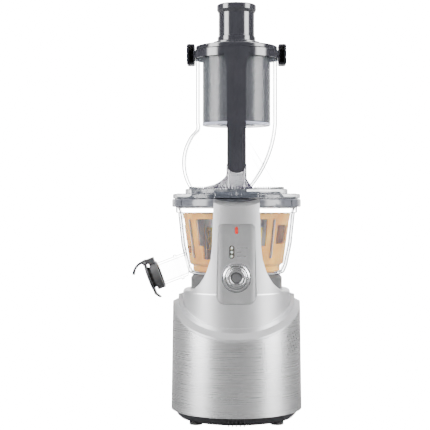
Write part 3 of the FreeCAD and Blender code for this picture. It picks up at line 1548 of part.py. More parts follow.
def make_bar_solid(grow):
    """The glossy front bar: a rounded foot, parallel sides and a flared head."""
    half = bar_half_width + grow
    head = bar_flare + grow
    outline = [(-half, bar_low_z - grow, 9.0), (half, bar_low_z - grow, 9.0), (half, bar_high_z - 20, 40),
               (head, bar_high_z - 3, 6), (head, bar_high_z + grow), (-head, bar_high_z + grow),
               (-head, bar_high_z - 3, 6), (-half, bar_high_z - 20, 40)]
    front = front_prism(outline, -90, 0)
    back_y = bar_front_y + bar_depth + grow
    plan = [(-30, back_y), (-30, bar_front_y + 11), (-15, bar_front_y + 2.6 - grow, 12),
            (0, bar_front_y - 1.6 - grow, 12), (15, bar_front_y + 2.6 - grow, 12), (30, bar_front_y + 11),
            (30, back_y)]
    return front.common(plan_prism(plan, 200, 420))


def make_bar():
    return make_bar_solid(0)


def make_bar_foot():
    """The post under the bar, spreading into two skirts on the flange."""
    low = flange_top_z + 0.05
    outline = [(-34, low), (-34, low + 1.4), (-21, low + 4.5, 24), (-10.4, low + 12, 9),
               (-10.4, bar_low_z + 9),
               (10.4, bar_low_z + 9), (10.4, low + 10, 5), (16, low + 1.4), (16, low)]
    front = front_prism(outline, -90, 0)
    shape = tube(flange_radius - 0.5, hopper_radius - 1.0, 240, 300, 0, drive_y)
    post = plan_prism([(-9.6, -30), (-9.6, bar_front_y + 3, 3), (9.6, bar_front_y + 3, 3), (9.6, -30)], low,
                      300)
    post = post.common(cylinder(flange_radius + 4, 200, 400, 0, drive_y))
    foot = front.common(joined([shape, post])).common(block(-60, 60, -60, -20, 200, 300))
    foot = foot.cut(hopper_solid(-0.1)).cut(make_bar_solid(fit_gap))
    solids = sorted(foot.Solids, key=lambda solid: -solid.Volume)
    return solids[0]


# ---- Pushers ----

def make_large_pusher():
    """The open-topped sleeve that presses whole fruit, with a chute down its middle."""
    low = pusher_low_z
    top = cap_flange_low_z
    r = pusher_radius
    bore = small_pusher_radius + small_pusher_room
    corners = [(bore, low, 0.8), (r, low, 1.5), (r, top), (r - pusher_wall, top),
               (r - pusher_wall, low + 2.5),
               (bore + 2.0, low + 2.5), (bore + 2.0, top - 0.4), (bore, top - 0.4)]
    return turned(corners, 0, drive_y)


def make_pusher_cap():
    low = cap_flange_low_z + 0.05
    high = cap_flange_high_z
    bore = small_pusher_radius + small_pusher_room
    r = hopper_radius
    corners = [(bore, low), (r, low, 1.0), (r, high, 1.2), (r - 3, high + 0.6),
               (cap_neck_radius + 4, cap_neck_z - 1.6, 6),
               (cap_neck_radius, cap_neck_z - 1.0), (cap_neck_radius, cap_neck_z + 0.6, 0.8),
               (bore, cap_neck_z + 0.6, 0.5)]
    return turned(corners, 0, drive_y)


def make_small_pusher():
    low = small_pusher_low_z
    r = small_pusher_radius
    band = r + 0.55
    head = small_head_radius
    top = overall_height
    corners = [(0, low), (r, low, 1.2), (r, cap_neck_z + 1.5), (band + 0.6, cap_neck_z + 1.5),
               (band + 0.6, cap_neck_z + 6.0), (r, cap_neck_z + 6.6), (r, small_head_low_z - 3.5),
               (head, small_head_low_z), (head, top - 1.2), (head - 1.2, top), (head - 3.0, top, 0.6),
               (head - 4.0, top - 3.5), (0, top - 3.5)]
    solid = turned(corners, 0, drive_y)
    hollow = cylinder(r - 2.2, low + 2.4, top - 6.5, 0, drive_y)
    return solid.cut(hollow)


# ---- Every node ----

makers = {
    "body_wrap": make_wrap,
    "shoulder_ring": make_shoulder,
    "upper_housing": make_housing,
    "base_pan": make_pan,
    "rubber_feet": make_feet,
    "case_screws": make_case_screws,
    "cable_gland": make_gland,
    "bowl_seat": make_seat,
    "shaft_seal": make_shaft_seal,
    "control_panel": make_panel,
    "control_bezel": make_bezel,
    "control_rocker": make_rocker,
    "rocker_pin": make_rocker_pin,
    "light_window": make_light_window,
    "light_lenses": make_light_lenses,
    "align_marker": make_marker,
    "control_board": make_control_board,
    "motor_stator": make_stator,
    "motor_windings": make_windings,
    "motor_bells": make_motor_bells,
    "rotor_core": make_rotor_core,
    "motor_shaft": make_motor_shaft,
    "cooling_fan": make_fan,
    "run_capacitor": make_capacitor,
    "middle_gear": make_middle_gear,
    "middle_axle": make_middle_axle,
    "output_gear": make_output_gear,
    "drive_shaft": make_drive_shaft,
    "gearbox_housing": make_gearbox,
    "gearbox_cover": make_gearbox_cover,
    "shaft_bearings": make_shaft_bearings,
    "juicing_bowl": make_bowl,
    "juice_spout": make_spout,
    "spout_collar": make_spout_collar,
    "cap_pin": make_cap_pin,
    "juice_cap": make_juice_cap,
    "cap_seal": make_cap_seal,
    "pulp_duct": make_pulp_duct,
    "bowl_seal": make_bowl_seal,
    "idler_pins": make_idler_pins,
    "right_idler": lambda: make_idler(1),
    "left_idler": lambda: make_idler(-1),
    "strainer_frame": make_strainer_frame,
    "strainer_mesh": make_strainer_mesh,
    "wiper_cage": make_wiper,
    "wiper_blades": make_wiper_blades,
    "auger": make_auger,
    "drive_insert": make_drive_insert,
    "hopper_base": make_hopper_base,
    "auger_bush": make_bush,
    "lid_seal": make_lid_seal,
    "lock_tab": make_lock_tab,
    "hopper_body": make_hopper_body,
    "hopper_gusset": make_gusset,
    "hopper_collar": make_hopper_collar,
    "front_bar": make_bar,
    "bar_foot": make_bar_foot,
    "large_pusher": make_large_pusher,
    "pusher_cap": make_pusher_cap,
    "small_pusher": make_small_pusher,
}

for name, maker in makers.items():
    save(name, maker())
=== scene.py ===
import json
import math

import bmesh
import bpy
from mathutils import Matrix, Vector

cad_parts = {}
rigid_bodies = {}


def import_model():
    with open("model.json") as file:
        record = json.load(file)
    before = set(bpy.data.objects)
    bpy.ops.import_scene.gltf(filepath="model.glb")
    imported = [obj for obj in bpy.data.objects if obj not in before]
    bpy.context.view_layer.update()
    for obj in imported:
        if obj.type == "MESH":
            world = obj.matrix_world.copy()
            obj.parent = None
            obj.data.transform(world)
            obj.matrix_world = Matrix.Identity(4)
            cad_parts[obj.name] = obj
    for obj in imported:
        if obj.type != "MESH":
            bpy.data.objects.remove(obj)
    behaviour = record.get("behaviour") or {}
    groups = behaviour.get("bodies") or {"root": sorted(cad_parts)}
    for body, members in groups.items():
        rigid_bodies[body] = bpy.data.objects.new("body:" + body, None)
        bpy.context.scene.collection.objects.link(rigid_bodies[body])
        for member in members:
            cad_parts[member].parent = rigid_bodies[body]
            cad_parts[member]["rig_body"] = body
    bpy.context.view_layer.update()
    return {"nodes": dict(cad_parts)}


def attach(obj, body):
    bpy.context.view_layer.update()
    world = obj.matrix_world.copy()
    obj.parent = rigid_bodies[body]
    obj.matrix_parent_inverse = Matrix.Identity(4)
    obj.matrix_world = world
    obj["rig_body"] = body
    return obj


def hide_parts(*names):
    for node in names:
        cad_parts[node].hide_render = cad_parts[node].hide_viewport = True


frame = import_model()
nodes = frame["nodes"]
mm = 0.001
driveY = 7 * mm  # the drive axis stands this far behind the base's axis
print("frame loaded:", len(nodes), "nodes")

# the camera stands level, a little above the middle of the juicer
cameraSettings = {
    "place": (0.0, -1.22, 0.233),
    "lens": 95.4,
    "shiftX": -0.05,
    "shiftY": -0.035,
}
cameraData = bpy.data.cameras.new("camera")
cameraData.lens = cameraSettings["lens"]
cameraData.shift_x = cameraSettings["shiftX"]
cameraData.shift_y = cameraSettings["shiftY"]
camera = bpy.data.objects.new("camera", cameraData)
camera.location = cameraSettings["place"]
camera.rotation_euler = (math.radians(90), 0, 0)
bpy.context.scene.collection.objects.link(camera)
bpy.context.scene.camera = camera


# one output of a shader node, so that plain arithmetic adds its Math nodes
class Wire:
    def __init__(self, paint, link):
        self.paint = paint
        self.link = link

    def __add__(self, other):
        return self.paint.work("ADD", self, other)

    def __sub__(self, other):
        return self.paint.work("SUBTRACT", self, other)

    def __rsub__(self, other):
        return self.paint.work("SUBTRACT", other, self)

    def __mul__(self, other):
        return self.paint.work("MULTIPLY", self, other)

    def __truediv__(self, other):
        return self.paint.work("DIVIDE", self, other)

    def __pow__(self, other):
        return self.paint.work("POWER", self, other)

    def __abs__(self):
        return self.paint.work("ABSOLUTE", self)

    __radd__ = __add__
    __rmul__ = __mul__

    def clear(self, low, high):  # 0 below low, 1 above high, smooth between
        settings = {"interpolation_type": "SMOOTHSTEP"}
        values = {0: self, 1: low, 2: high, 3: 0.0, 4: 1.0}
        return self.paint.add("ShaderNodeMapRange", settings, values)


# a node tree being filled: a material's, or the world's
class Paint:
    def __init__(self, name, tree=None):
        self.material = None
        if tree is None:
            self.material = bpy.data.materials.new(name)
            self.material.use_nodes = True
            tree = self.material.node_tree
        self.tree = tree
        self.tree.nodes.clear()

    def add(self, kind, settings=None, values=None, output=0):
        node = self.tree.nodes.new(kind)
        for key, value in (settings or {}).items():
            setattr(node, key, value)
        for key, value in (values or {}).items():
            if isinstance(value, Wire):
                self.tree.links.new(value.link, node.inputs[key])
            elif value is not None:
                node.inputs[key].default_value = value
        return Wire(self, node.outputs[output])

    def work(self, operation, first, second=None):
        return self.add("ShaderNodeMath", {"operation": operation}, {0: first, 1: second})

    def place(self, stretch=(1, 1, 1), shift=(0, 0, 0), turn=(0, 0, 0)):
        spot = self.add("ShaderNodeTexCoord", output="Object")
        values = {"Vector": spot, "Location": shift, "Rotation": turn, "Scale": stretch}
        return self.add("ShaderNodeMapping", None, values)

    def noise(self, scale, detail=2.0, stretch=(1, 1, 1), roughness=0.5):
        values = {"Vector": self.place(stretch), "Scale": scale, "Detail": detail, "Roughness": roughness}
        return self.add("ShaderNodeTexNoise", None, values)

    def cells(self, scale, stretch=(1, 1, 1)):
        values = {"Vector": self.place(stretch), "Scale": scale}
        return self.add("ShaderNodeTexVoronoi", {"feature": "F1"}, values)

    def axis(self, shift=(0, 0, 0), turn=(0, 0, 0)):  # X, Y and Z as three wires
        spot = self.place((1, 1, 1), shift, turn)
        split = self.add("ShaderNodeSeparateXYZ", None, {0: spot}).link.node
        return [Wire(self, split.outputs[i]) for i in range(3)]

    def mix(self, factor, first, second):  # colours
        return self.add("ShaderNodeMix", {"data_type": "RGBA"}, {0: factor, 6: first, 7: second}, 2)

    def bump(self, height, depth, strength=1.0):  # depth in metres
        values = {"Height": height, "Distance": depth, "Strength": strength}
        return self.add("ShaderNodeBump", None, values)

    def principled(self, colour, rough, **more):
        values = {"Base Color": colour, "Roughness": rough}
        for key, value in more.items():
            values[socketNames[key]] = value
        return self.add("ShaderNodeBsdfPrincipled", None, values)

    def blend(self, factor, first, second):  # shaders
        return self.add("ShaderNodeMixShader", None, {0: factor, 1: first, 2: second})

    def done(self, shader):
        output = self.tree.nodes.new("ShaderNodeOutputMaterial")
        self.tree.links.new(shader.link, output.inputs["Surface"])
        return self.material


socketNames = {
    "metal": "Metallic",
    "normal": "Normal",
    "coat": "Coat Weight",
    "coatRough": "Coat Roughness",
    "ior": "IOR",
    "shine": "Specular IOR Level",
    "scatter": "Subsurface Weight",
    "scatterReach": "Subsurface Scale",
    "glow": "Emission Color",
    "glowStrength": "Emission Strength",
    "anisotropy": "Anisotropic",
}


def grey(value, blue=0.0):
    return (value, value, value * (1 + blue), 1.0)


# brushed round the shell: fine level lines that change the roughness and the tone
def brushedMetal(name, tone, rough, lines=2600, across=7, wear=0.05):
    paint = Paint(name)
    brush = paint.noise(1.0, 3.0, (across, across, lines))
    cloud = paint.noise(22.0, 2.0)
    colour = paint.mix(brush, grey(tone * (1 - wear), 0.01), grey(min(1.0, tone * (1 + wear)), 0.02))
    roughness = rough + (brush - 0.5) * 0.10 + (cloud - 0.5) * 0.05
    normal = paint.bump(brush, 0.02 * mm, 0.35)
    return paint.done(paint.principled(colour, roughness, metal=1.0, normal=normal))


# satin paint with fine metal flakes in it
def flakePaint(name, tone, rough, blue=0.02):
    paint = Paint(name)
    flakes = paint.cells(2600.0)
    soft = paint.noise(60.0, 2.0)
    glint = flakes.clear(0.2, 0.75)
    colour = paint.mix(glint, grey(tone * 0.93, blue), grey(tone, blue))
    roughness = rough + (soft - 0.5) * 0.06 + glint * 0.05
    more = {"metal": 0.88, "coat": 0.12, "coatRough": 0.35}
    return paint.done(paint.principled(colour, roughness, normal=paint.bump(flakes, 0.01 * mm, 0.3), **more))


# turned metal: rings about an axis that faces the front
def turnedMetal(name, tone, rough, middle, lean, ringsPerMetre=21000.0):
    paint = Paint(name)
    across, along, up = paint.axis(middle, lean)
    reach = (across * across + up * up) ** 0.5
    rings = paint.work("SINE", reach * ringsPerMetre)
    cloud = paint.noise(140.0, 2.0)
    colour = paint.mix(rings * 0.5 + 0.5, grey(tone * 0.86, 0.02), grey(tone, 0.02))
    roughness = rough + cloud * 0.06
    normal = paint.bump(rings, 0.008 * mm, 0.4)
    return paint.done(paint.principled(colour, roughness, metal=1.0, normal=normal))


# moulded plastic: a fine sparked texture and slightly uneven gloss
def mouldedPlastic(name, colour, rough, grain=1500.0, depth=0.03, spread=0.08, **more):
    paint = Paint(name)
    sparks = paint.noise(grain, 3.0, roughness=0.6)
    cloud = paint.noise(35.0, 2.0)
    darker = tuple(c * 0.84 for c in colour[:3]) + (1.0,)
    tone = paint.mix(cloud.clear(0.3, 0.7), darker, colour)
    roughness = rough + (sparks - 0.5) * spread + (cloud - 0.5) * 0.05
    normal = paint.bump(sparks, depth * mm, 0.5)
    return paint.done(paint.principled(tone, roughness, normal=normal, **more))


paintedEdgeShade = 0.93  # how much painted edge shade hides a clear wall where it is seen along its surface
glancingGloss = 0.05


# see-through plastic: painted edge shade darkens a wall where it is seen along its surface, standing in for
# the dark seen through it there, and a thin gloss lies over it
def clearWall(name, body, dense, rim, gloss, edge, cloudiness=0.02, shine=0.16):
    paint = Paint(name)
    facing = paint.add("ShaderNodeLayerWeight", None, {"Blend": 0.5}, "Facing")
    haze = paint.noise(26.0, 2.0)
    fine = paint.noise(420.0, 2.0)
    along = facing.clear(*edge)
    through = paint.add("ShaderNodeBsdfTransparent", None, {"Color": grey(1.0)})
    # the rim colour is painted edge shade, mixed in where the wall is seen along its surface
    tone = paint.mix(along, body, rim)
    wall = paint.principled(tone, 0.16 + (fine - 0.5) * 0.06, shine=shine)
    share = dense + (haze - 0.5) * cloudiness + along * (paintedEdgeShade - dense)
    veil = paint.blend(share, through, wall)
    smooth = paint.bump(fine, 0.01 * mm, 0.1)
    values = {"Color": grey(1.0), "Roughness": 0.05, "Normal": smooth}
    mirror = paint.add("ShaderNodeBsdfGlossy", None, values)
    return paint.done(paint.blend(gloss + facing ** 4.0 * glancingGloss, veil, mirror))


# steel with fine turning marks
def machinedSteel(name, tone=0.62, rough=0.24):
    paint = Paint(name)
    turning = paint.noise(1.0, 2.0, (60, 60, 5200))
    cloud = paint.noise(180.0, 2.0)
    colour = paint.mix(turning, grey(tone * 0.85, 0.01), grey(tone, 0.01))
    normal = paint.bump(turning, 0.01 * mm, 0.4)
    return paint.done(paint.principled(colour, rough + cloud * 0.12, metal=1.0, normal=normal))


# the motor's thin sheets, one above the other
def stackedSheets(name):
    paint = Paint(name)
    sheets = paint.work("SINE", paint.axis()[2] * 12600.0)
    rust = paint.noise(300.0, 3.0)
    colour = paint.mix(rust.clear(0.55, 0.75), grey(0.23, 0.02), (0.16, 0.10, 0.07, 1.0))
    normal = paint.bump(sheets, 0.05 * mm, 0.8)
    return paint.done(paint.principled(colour, 0.42 + sheets * 0.06, metal=0.85, normal=normal))


# varnished copper wire in slanted turns
def woundCopper(name):
    paint = Paint(name)
    x, y, z = paint.axis()
    strands = paint.work("SINE", (x + y) * 6200.0 + z * 4100.0)
    varnish = paint.noise(240.0, 2.0)
    colour = paint.mix(varnish, (0.50, 0.17, 0.06, 1.0), (0.78, 0.33, 0.14, 1.0))
    normal = paint.bump(strands, 0.12 * mm, 0.8)
    more = {"metal": 0.9, "coat": 0.4, "coatRough": 0.2}
    return paint.done(paint.principled(colour, 0.28 + varnish * 0.14, normal=normal, **more))


# rough cast metal with small pits
def castMetal(name):
    paint = Paint(name)
    pits = paint.noise(900.0, 4.0, roughness=0.65)
    cloud = paint.noise(60.0, 2.0)
    colour = paint.mix(cloud, grey(0.34, 0.02), grey(0.46, 0.02))
    normal = paint.bump(pits, 0.06 * mm, 0.7)
    return paint.done(paint.principled(colour, 0.46 + pits * 0.18, metal=0.8, normal=normal))


# a green circuit board with a grid of tracks
def boardFinish(name):
    paint = Paint(name)
    place = paint.axis()
    tracks = abs(paint.work("SINE", place[0] * 1900.0)) * abs(paint.work("SINE", place[2] * 1300.0))
    copper = tracks.clear(0.62, 0.74)
    colour = paint.mix(copper, (0.010, 0.085, 0.040, 1.0), (0.045, 0.20, 0.085, 1.0))
    normal = paint.bump(copper, 0.04 * mm, 0.6)
    return paint.done(paint.principled(colour, 0.30 + copper * 0.1, normal=normal, coat=0.3))


# a frosted lamp lens with fine level ribs
def lampLens(name):
    paint = Paint(name)
    ribs = paint.work("SINE", paint.axis()[2] * 9000.0)
    colour = paint.mix(ribs * 0.5 + 0.5, (0.62, 0.64, 0.60, 1.0), (0.86, 0.88, 0.84, 1.0))
    normal = paint.bump(ribs, 0.03 * mm, 0.5)
    values = {"scatter": 0.2, "scatterReach": 1 * mm}
    return paint.done(paint.principled(colour, 0.2 + ribs * 0.03, normal=normal, **values))


# the auger's moulded yellow and the wiper's amber let some light through
def glowingPlastic(name, deep, bright, rough, seeThrough):
    paint = Paint(name)
    swirl = paint.noise(55.0, 3.0, (1, 1, 0.5))
    fine = paint.noise(1300.0, 2.0)
    facing = paint.add("ShaderNodeLayerWeight", None, {"Blend": 0.4}, "Facing")
    tone = paint.mix(swirl.clear(0.25, 0.75), deep, bright)
    normal = paint.bump(fine, 0.02 * mm, 0.3)
    values = {"scatter": 0.25, "scatterReach": 4 * mm, "coat": 0.3, "normal": normal}
    body = paint.principled(tone, rough + (fine - 0.5) * 0.08, **values)
    if seeThrough == 0:
        return paint.done(body)
    through = paint.add("ShaderNodeBsdfTransparent", None, {"Color": (1.0, 0.93, 0.80, 1.0)})
    return paint.done(paint.blend(1 - seeThrough * (1 - facing), through, body))


leanOfColumn = math.radians(3.83)
controlCentre = Vector((0.0, -61.27, 154.0)) * mm
controlMiddle = -(Matrix.Rotation(-leanOfColumn, 3, "X") @ controlCentre)  # brings the control to the origin

finishes = {
    "shell": brushedMetal("brushed_shell", 0.74, 0.28),
    "paint": flakePaint("silver_paint", 0.70, 0.36),
    "panel": brushedMetal("panel_silver", 0.76, 0.35, lines=3400, across=40, wear=0.03),
    "ring": turnedMetal("bright_ring", 0.72, 0.22, controlMiddle, (-leanOfColumn, 0, 0)),
    "button": turnedMetal("button_grey", 0.42, 0.34, controlMiddle, (-leanOfColumn, 0, 0)),
    "pan": mouldedPlastic("black_plastic", grey(0.022, 0.15), 0.42, grain=1400, depth=0.05),
    "rubber": mouldedPlastic("black_rubber", grey(0.016), 0.72, grain=900, depth=0.05),
    "seat": mouldedPlastic("dark_plastic", grey(0.075, 0.02), 0.48, grain=1100, depth=0.09, spread=0.12),
    "charcoal": mouldedPlastic("charcoal", grey(0.085, 0.04), 0.30, grain=1200),
    "gloss": mouldedPlastic("dark_gloss", grey(0.034, 0.2), 0.14, grain=700, depth=0.004, spread=0.02,
                            coat=0.6, coatRough=0.04),
    "window": mouldedPlastic("window_black", grey(0.050, -0.2), 0.16, grain=700, depth=0.006, spread=0.03,
                             coat=0.4),
    "red": mouldedPlastic("red_plastic", (0.74, 0.030, 0.022, 1.0), 0.24, grain=900, depth=0.01, spread=0.04,
                          coat=0.3),
    "ink": mouldedPlastic("grey_ink", grey(0.20, 0.05), 0.5, grain=2400, depth=0.01),
    "white": mouldedPlastic("white_ink", grey(0.86), 0.45, grain=2400, depth=0.01),
    "nylon": mouldedPlastic("nylon", (0.66, 0.64, 0.58, 1.0), 0.42, grain=900, depth=0.04,
                            scatter=0.2, scatterReach=2 * mm),
    "paleFrame": mouldedPlastic("pale_frame", (0.62, 0.61, 0.60, 1.0), 0.34, grain=1000,
                                scatter=0.15, scatterReach=3 * mm),
    "cansleeve": mouldedPlastic("grey_plastic", grey(0.34), 0.40, grain=900),
    "silicone": mouldedPlastic("silicone", (0.46, 0.43, 0.41, 1.0), 0.50, grain=1300, depth=0.02,
                               scatter=0.3, scatterReach=3 * mm),
    "sealBlack": mouldedPlastic("seal_black", grey(0.030), 0.5, grain=1300, depth=0.02),
    # the rim colours of the clear walls below are painted edge shade
    "clear": clearWall("clear_plastic", body=(0.70, 0.76, 0.84, 1), dense=0.04, rim=(0.016, 0.022, 0.038, 1),
                       gloss=0.010, edge=(0.66, 0.86)),
    "spoutClear": clearWall("clear_spout", body=(0.80, 0.82, 0.86, 1), dense=0.04,
                            rim=(0.010, 0.014, 0.022, 1), gloss=0.014, edge=(0.55, 0.82)),
    "tinted": clearWall("tinted_plastic", body=(0.075, 0.082, 0.098, 1), dense=0.66,
                        rim=(0.018, 0.020, 0.028, 1), gloss=0.022, edge=(0.5, 0.9), cloudiness=0.10),
    "rimBand": clearWall("rim_band", body=(0.13, 0.135, 0.155, 1), dense=0.82, rim=(0.03, 0.034, 0.045, 1),
                         gloss=0.03, edge=(0.55, 0.92), cloudiness=0.08),
    "smoky": clearWall("smoky_plastic", body=(0.040, 0.034, 0.060, 1), dense=0.80,
                       rim=(0.012, 0.010, 0.020, 1), gloss=0.014, edge=(0.5, 0.9), cloudiness=0.08),
    "sleeve": clearWall("smoky_sleeve", body=(0.030, 0.028, 0.032, 1), dense=0.96,
                        rim=(0.016, 0.015, 0.018, 1), gloss=0.004, edge=(0.5, 0.9), shine=0.03),
    "pale": clearWall("pale_edge", body=(0.62, 0.63, 0.80, 1), dense=0.70, rim=(0.30, 0.30, 0.45, 1),
                      gloss=0.02, edge=(0.6, 0.95)),
    "amber": glowingPlastic("amber_plastic", (0.62, 0.25, 0.012, 1), (0.95, 0.50, 0.055, 1), 0.26, 0.15),
    "yellow": glowingPlastic("yellow_plastic", (0.90, 0.62, 0.010, 1), (1.0, 0.84, 0.035, 1), 0.30, 0),
    "steel": machinedSteel("steel"),
    "gold": mouldedPlastic("strainer_yellow", (0.92, 0.70, 0.03, 1.0), 0.30, grain=900, depth=0.01,
                           spread=0.05, coat=0.2),
    "lensDark": mouldedPlastic("control_lens", grey(0.10, 0.05), 0.14, grain=700, depth=0.004, spread=0.02,
                               coat=0.6, coatRough=0.05),
    "signGrey": mouldedPlastic("sign_grey", grey(0.50, 0.02), 0.35, grain=2400, depth=0.01),
    "punched": machinedSteel("mesh_steel", 0.66, 0.30),
    "sheets": stackedSheets("lamination"),
    "copper": woundCopper("copper"),
    "cast": castMetal("cast_metal"),
    "board": boardFinish("circuit_board"),
    "lens": lampLens("light_lens"),
}
print("finishes made:", len(finishes))


# ---- mesh helpers; sizes are millimetres until the mesh is made ----
# a mesh from its points and faces, with doubles merged and faces turned outwards
def newPiece(name, points, faces, finish, body, angle=30):
    shape = bmesh.new()
    corners = [shape.verts.new(Vector(p) * mm) for p in points]
    for face in faces:
        shape.faces.new([corners[i] for i in face])
    bmesh.ops.remove_doubles(shape, verts=shape.verts, dist=0.002 * mm)
    bmesh.ops.recalc_face_normals(shape, faces=shape.faces)
    mesh = bpy.data.meshes.new(name)
    shape.to_mesh(mesh)
    shape.free()
    return finishPiece(name, mesh, finish, body, angle)


# a finished mesh becomes a piece that rides on its body
def finishPiece(name, mesh, finish, body, angle=30, weighted=False):
    mesh.materials.clear()
    mesh.materials.append(finishes[finish])
    mesh.shade_smooth()
    mesh.set_sharp_from_angle(angle=math.radians(angle))
    piece = bpy.data.objects.new(name, mesh)
    bpy.context.scene.collection.objects.link(piece)
    if weighted:
        weights = piece.modifiers.new("weights", "WEIGHTED_NORMAL")
        weights.keep_sharp = True
    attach(piece, body)
    return piece


# corners are (radius, height[, rounding]); the rounded ones become short arcs
def rounded(corners, steps=5):
    line = []
    count = len(corners)
    for i, corner in enumerate(corners):
        here = Vector(corner[:2])
        if len(corner) < 3 or corner[2] == 0:
            line.append(tuple(here))
            continue
        back = (Vector(corners[i - 1][:2]) - here).normalized()
        ahead = (Vector(corners[(i + 1) % count][:2]) - here).normalized()
        half = back.angle(ahead) / 2
        reach = corner[2] / math.tan(half)
        start, end = here + back * reach, here + ahead * reach
        centre = here + (back + ahead).normalized() * (corner[2] / math.sin(half))
        for step in range(steps + 1):
            share = step / steps
            spot = (start - centre).slerp(end - centre, share) + centre
            line.append(tuple(spot))
    return line


# the faces of a closed outline of (radius, height) that is turned; corners on the axis meet in one point
def turnedFaces(outline, sides):
    faces = []
    count = len(outline)
    for i in range(sides):
        following = (i + 1) % sides
        for j in range(count):
            k = (j + 1) % count
            face = [i * count + j, following * count + j, following * count + k, i * count + k]
            startsOnAxis = outline[j][0] < 1e-6
            endsOnAxis = outline[k][0] < 1e-6
            if startsOnAxis and endsOnAxis:
                continue
            if startsOnAxis:
                face = [j, face[2], face[3]]
            elif endsOnAxis:
                face = [face[0], face[1], k]
            faces.append(face)
    return faces


# a closed outline turned round the upright drive axis
def lathe(name, outline, finish, body, sides=96, angle=30):
    points = []
    for i in range(sides):
        turn = 2 * math.pi * i / sides
        for radius, height in outline:
            points.append((radius * math.cos(turn), driveY / mm + radius * math.sin(turn), height))
    return newPiece(name, points, turnedFaces(outline, sides), finish, body, angle)


# a copy of a CAD node with its corners merged, shaded smooth, that stands in the node's place
def standIn(node, finish, angle=28, name=None):
    source = nodes[node]
    shape = bmesh.new()
    shape.from_mesh(source.data)
    bmesh.ops.remove_doubles(shape, verts=shape.verts, dist=0.001 * mm)
    shape.verts.index_update()
    mesh = bpy.data.meshes.new(node + "_shape")
    points = [tuple(v.co) for v in shape.verts]
    mesh.from_pydata(points, [], [[v.index for v in f.verts] for f in shape.faces])
    shape.free()
    piece = finishPiece(name or node + "_skin", mesh, finish, source["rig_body"], angle, True)
    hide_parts(node)
    return piece


# keeps a CAD node as it is and only changes its finish
def refinish(node, finish):
    mesh = nodes[node].data
    mesh.materials.clear()
    mesh.materials.append(finishes[finish])


# which finish each CAD node gets; three of them are replaced by finer pieces further down
finishOf = {
    "body_wrap": "shell", "shoulder_ring": "paint", "upper_housing": "paint", "control_panel": "panel",
    "base_pan": "pan", "cooling_fan": "pan", "rubber_feet": "rubber", "cable_gland": "rubber",
    "bowl_seat": "seat", "case_screws": "steel", "control_bezel": "ring", "control_rocker": "button",
    "rocker_pin": "steel", "light_window": "window", "light_lenses": "lens", "align_marker": "red",
    "control_board": "board", "motor_stator": "sheets", "rotor_core": "sheets", "motor_windings": "copper",
    "motor_bells": "cast", "run_capacitor": "cansleeve", "middle_axle": "steel", "motor_shaft": "steel",
    "drive_shaft": "steel", "shaft_bearings": "steel", "drive_insert": "steel", "idler_pins": "steel",
    "cap_pin": "steel", "gearbox_housing": "charcoal", "gearbox_cover": "charcoal", "middle_gear": "nylon",
    "output_gear": "nylon", "left_idler": "nylon", "right_idler": "nylon", "auger_bush": "nylon",
    "shaft_seal": "silicone", "bowl_seal": "silicone", "lid_seal": "silicone", "cap_seal": "sealBlack",
    "wiper_blades": "silicone", "juice_spout": "spoutClear", "spout_collar": "charcoal",
    "juice_cap": "charcoal", "pulp_duct": "smoky", "strainer_frame": "paleFrame", "wiper_cage": "amber",
    "auger": "yellow",
    "hopper_base": "tinted", "lock_tab": "tinted", "hopper_gusset": "clear", "hopper_collar": "gloss",
    "front_bar": "gloss", "bar_foot": "smoky", "pusher_cap": "gloss", "small_pusher": "gloss",
    "large_pusher": "sleeve", "juicing_bowl": "clear", "hopper_body": "clear", "strainer_mesh": "punched",
}
for node, finish in finishOf.items():
    refinish(node, finish)
print("CAD nodes refinished:", len(finishOf))


# ---- pieces on the column ----
columnSettings = {"footY": -61, "footZ": 105}  # where the column's front face starts


# the place on the leaning face at a height, at a depth behind it
def onColumn(height, depth=0.0):
    lean = Matrix.Rotation(leanOfColumn, 4, "X")
    faceY = columnSettings["footY"] - (height - columnSettings["footZ"]) * math.tan(leanOfColumn)
    return Matrix.Translation(Vector((0, faceY, height)) + lean @ Vector((0, depth, 0))) @ lean


controlSettings = {"height": 153.8, "panelDepth": 3.0}
onPanel = onColumn(controlSettings["height"], controlSettings["panelDepth"])

# the panel's face stays flat in the middle and rolls back towards its sides
panelSettings = {"flatHalf": 12.6, "half": 19.4, "roll": 1.5, "skin": 0.8, "cutStep": 1.0, "cuts": 7}


def makePanel():
    shape = bmesh.new()
    shape.from_mesh(nodes["control_panel"].data)
    bmesh.ops.remove_doubles(shape, verts=shape.verts, dist=0.001 * mm)
    flatHalf, half = panelSettings["flatHalf"], panelSettings["half"]
    for cut in [flatHalf + i * panelSettings["cutStep"] for i in range(panelSettings["cuts"])] + [half]:
        for side in (-1, 1):
            everything = shape.verts[:] + shape.edges[:] + shape.faces[:]
            middle = (side * cut * mm, 0, 0)
            bmesh.ops.bisect_plane(shape, geom=everything, plane_co=middle, plane_no=(1, 0, 0))
    outOf = onPanel.inverted()
    for vert in shape.verts:
        spot = outOf @ (vert.co / mm)
        past = (abs(spot.x) - flatHalf) / (half - flatHalf)
        if spot.y < panelSettings["skin"] and past > 0:
            spot.y += panelSettings["roll"] * min(past, 1.0) ** 2
            vert.co = (onPanel @ spot) * mm
    mesh = bpy.data.meshes.new("panel_face")
    shape.to_mesh(mesh)
    shape.free()
    piece = finishPiece("panel_face", mesh, "panel", "base", 35, True)
    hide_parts("control_panel")


# an outline of (radius, depth) turned about the control's own axis
def turnedFront(name, outline, finish, body, stretch=(1.0, 1.0), sides=72):
    points = []
    for i in range(sides):
        turn = 2 * math.pi * i / sides
        for radius, depth in outline:
            spot = Vector((radius * stretch[0] * math.cos(turn), depth, radius * stretch[1] * math.sin(turn)))
            points.append(onPanel @ spot)
    return newPiece(name, points, turnedFaces(outline, sides), finish, body, 32)


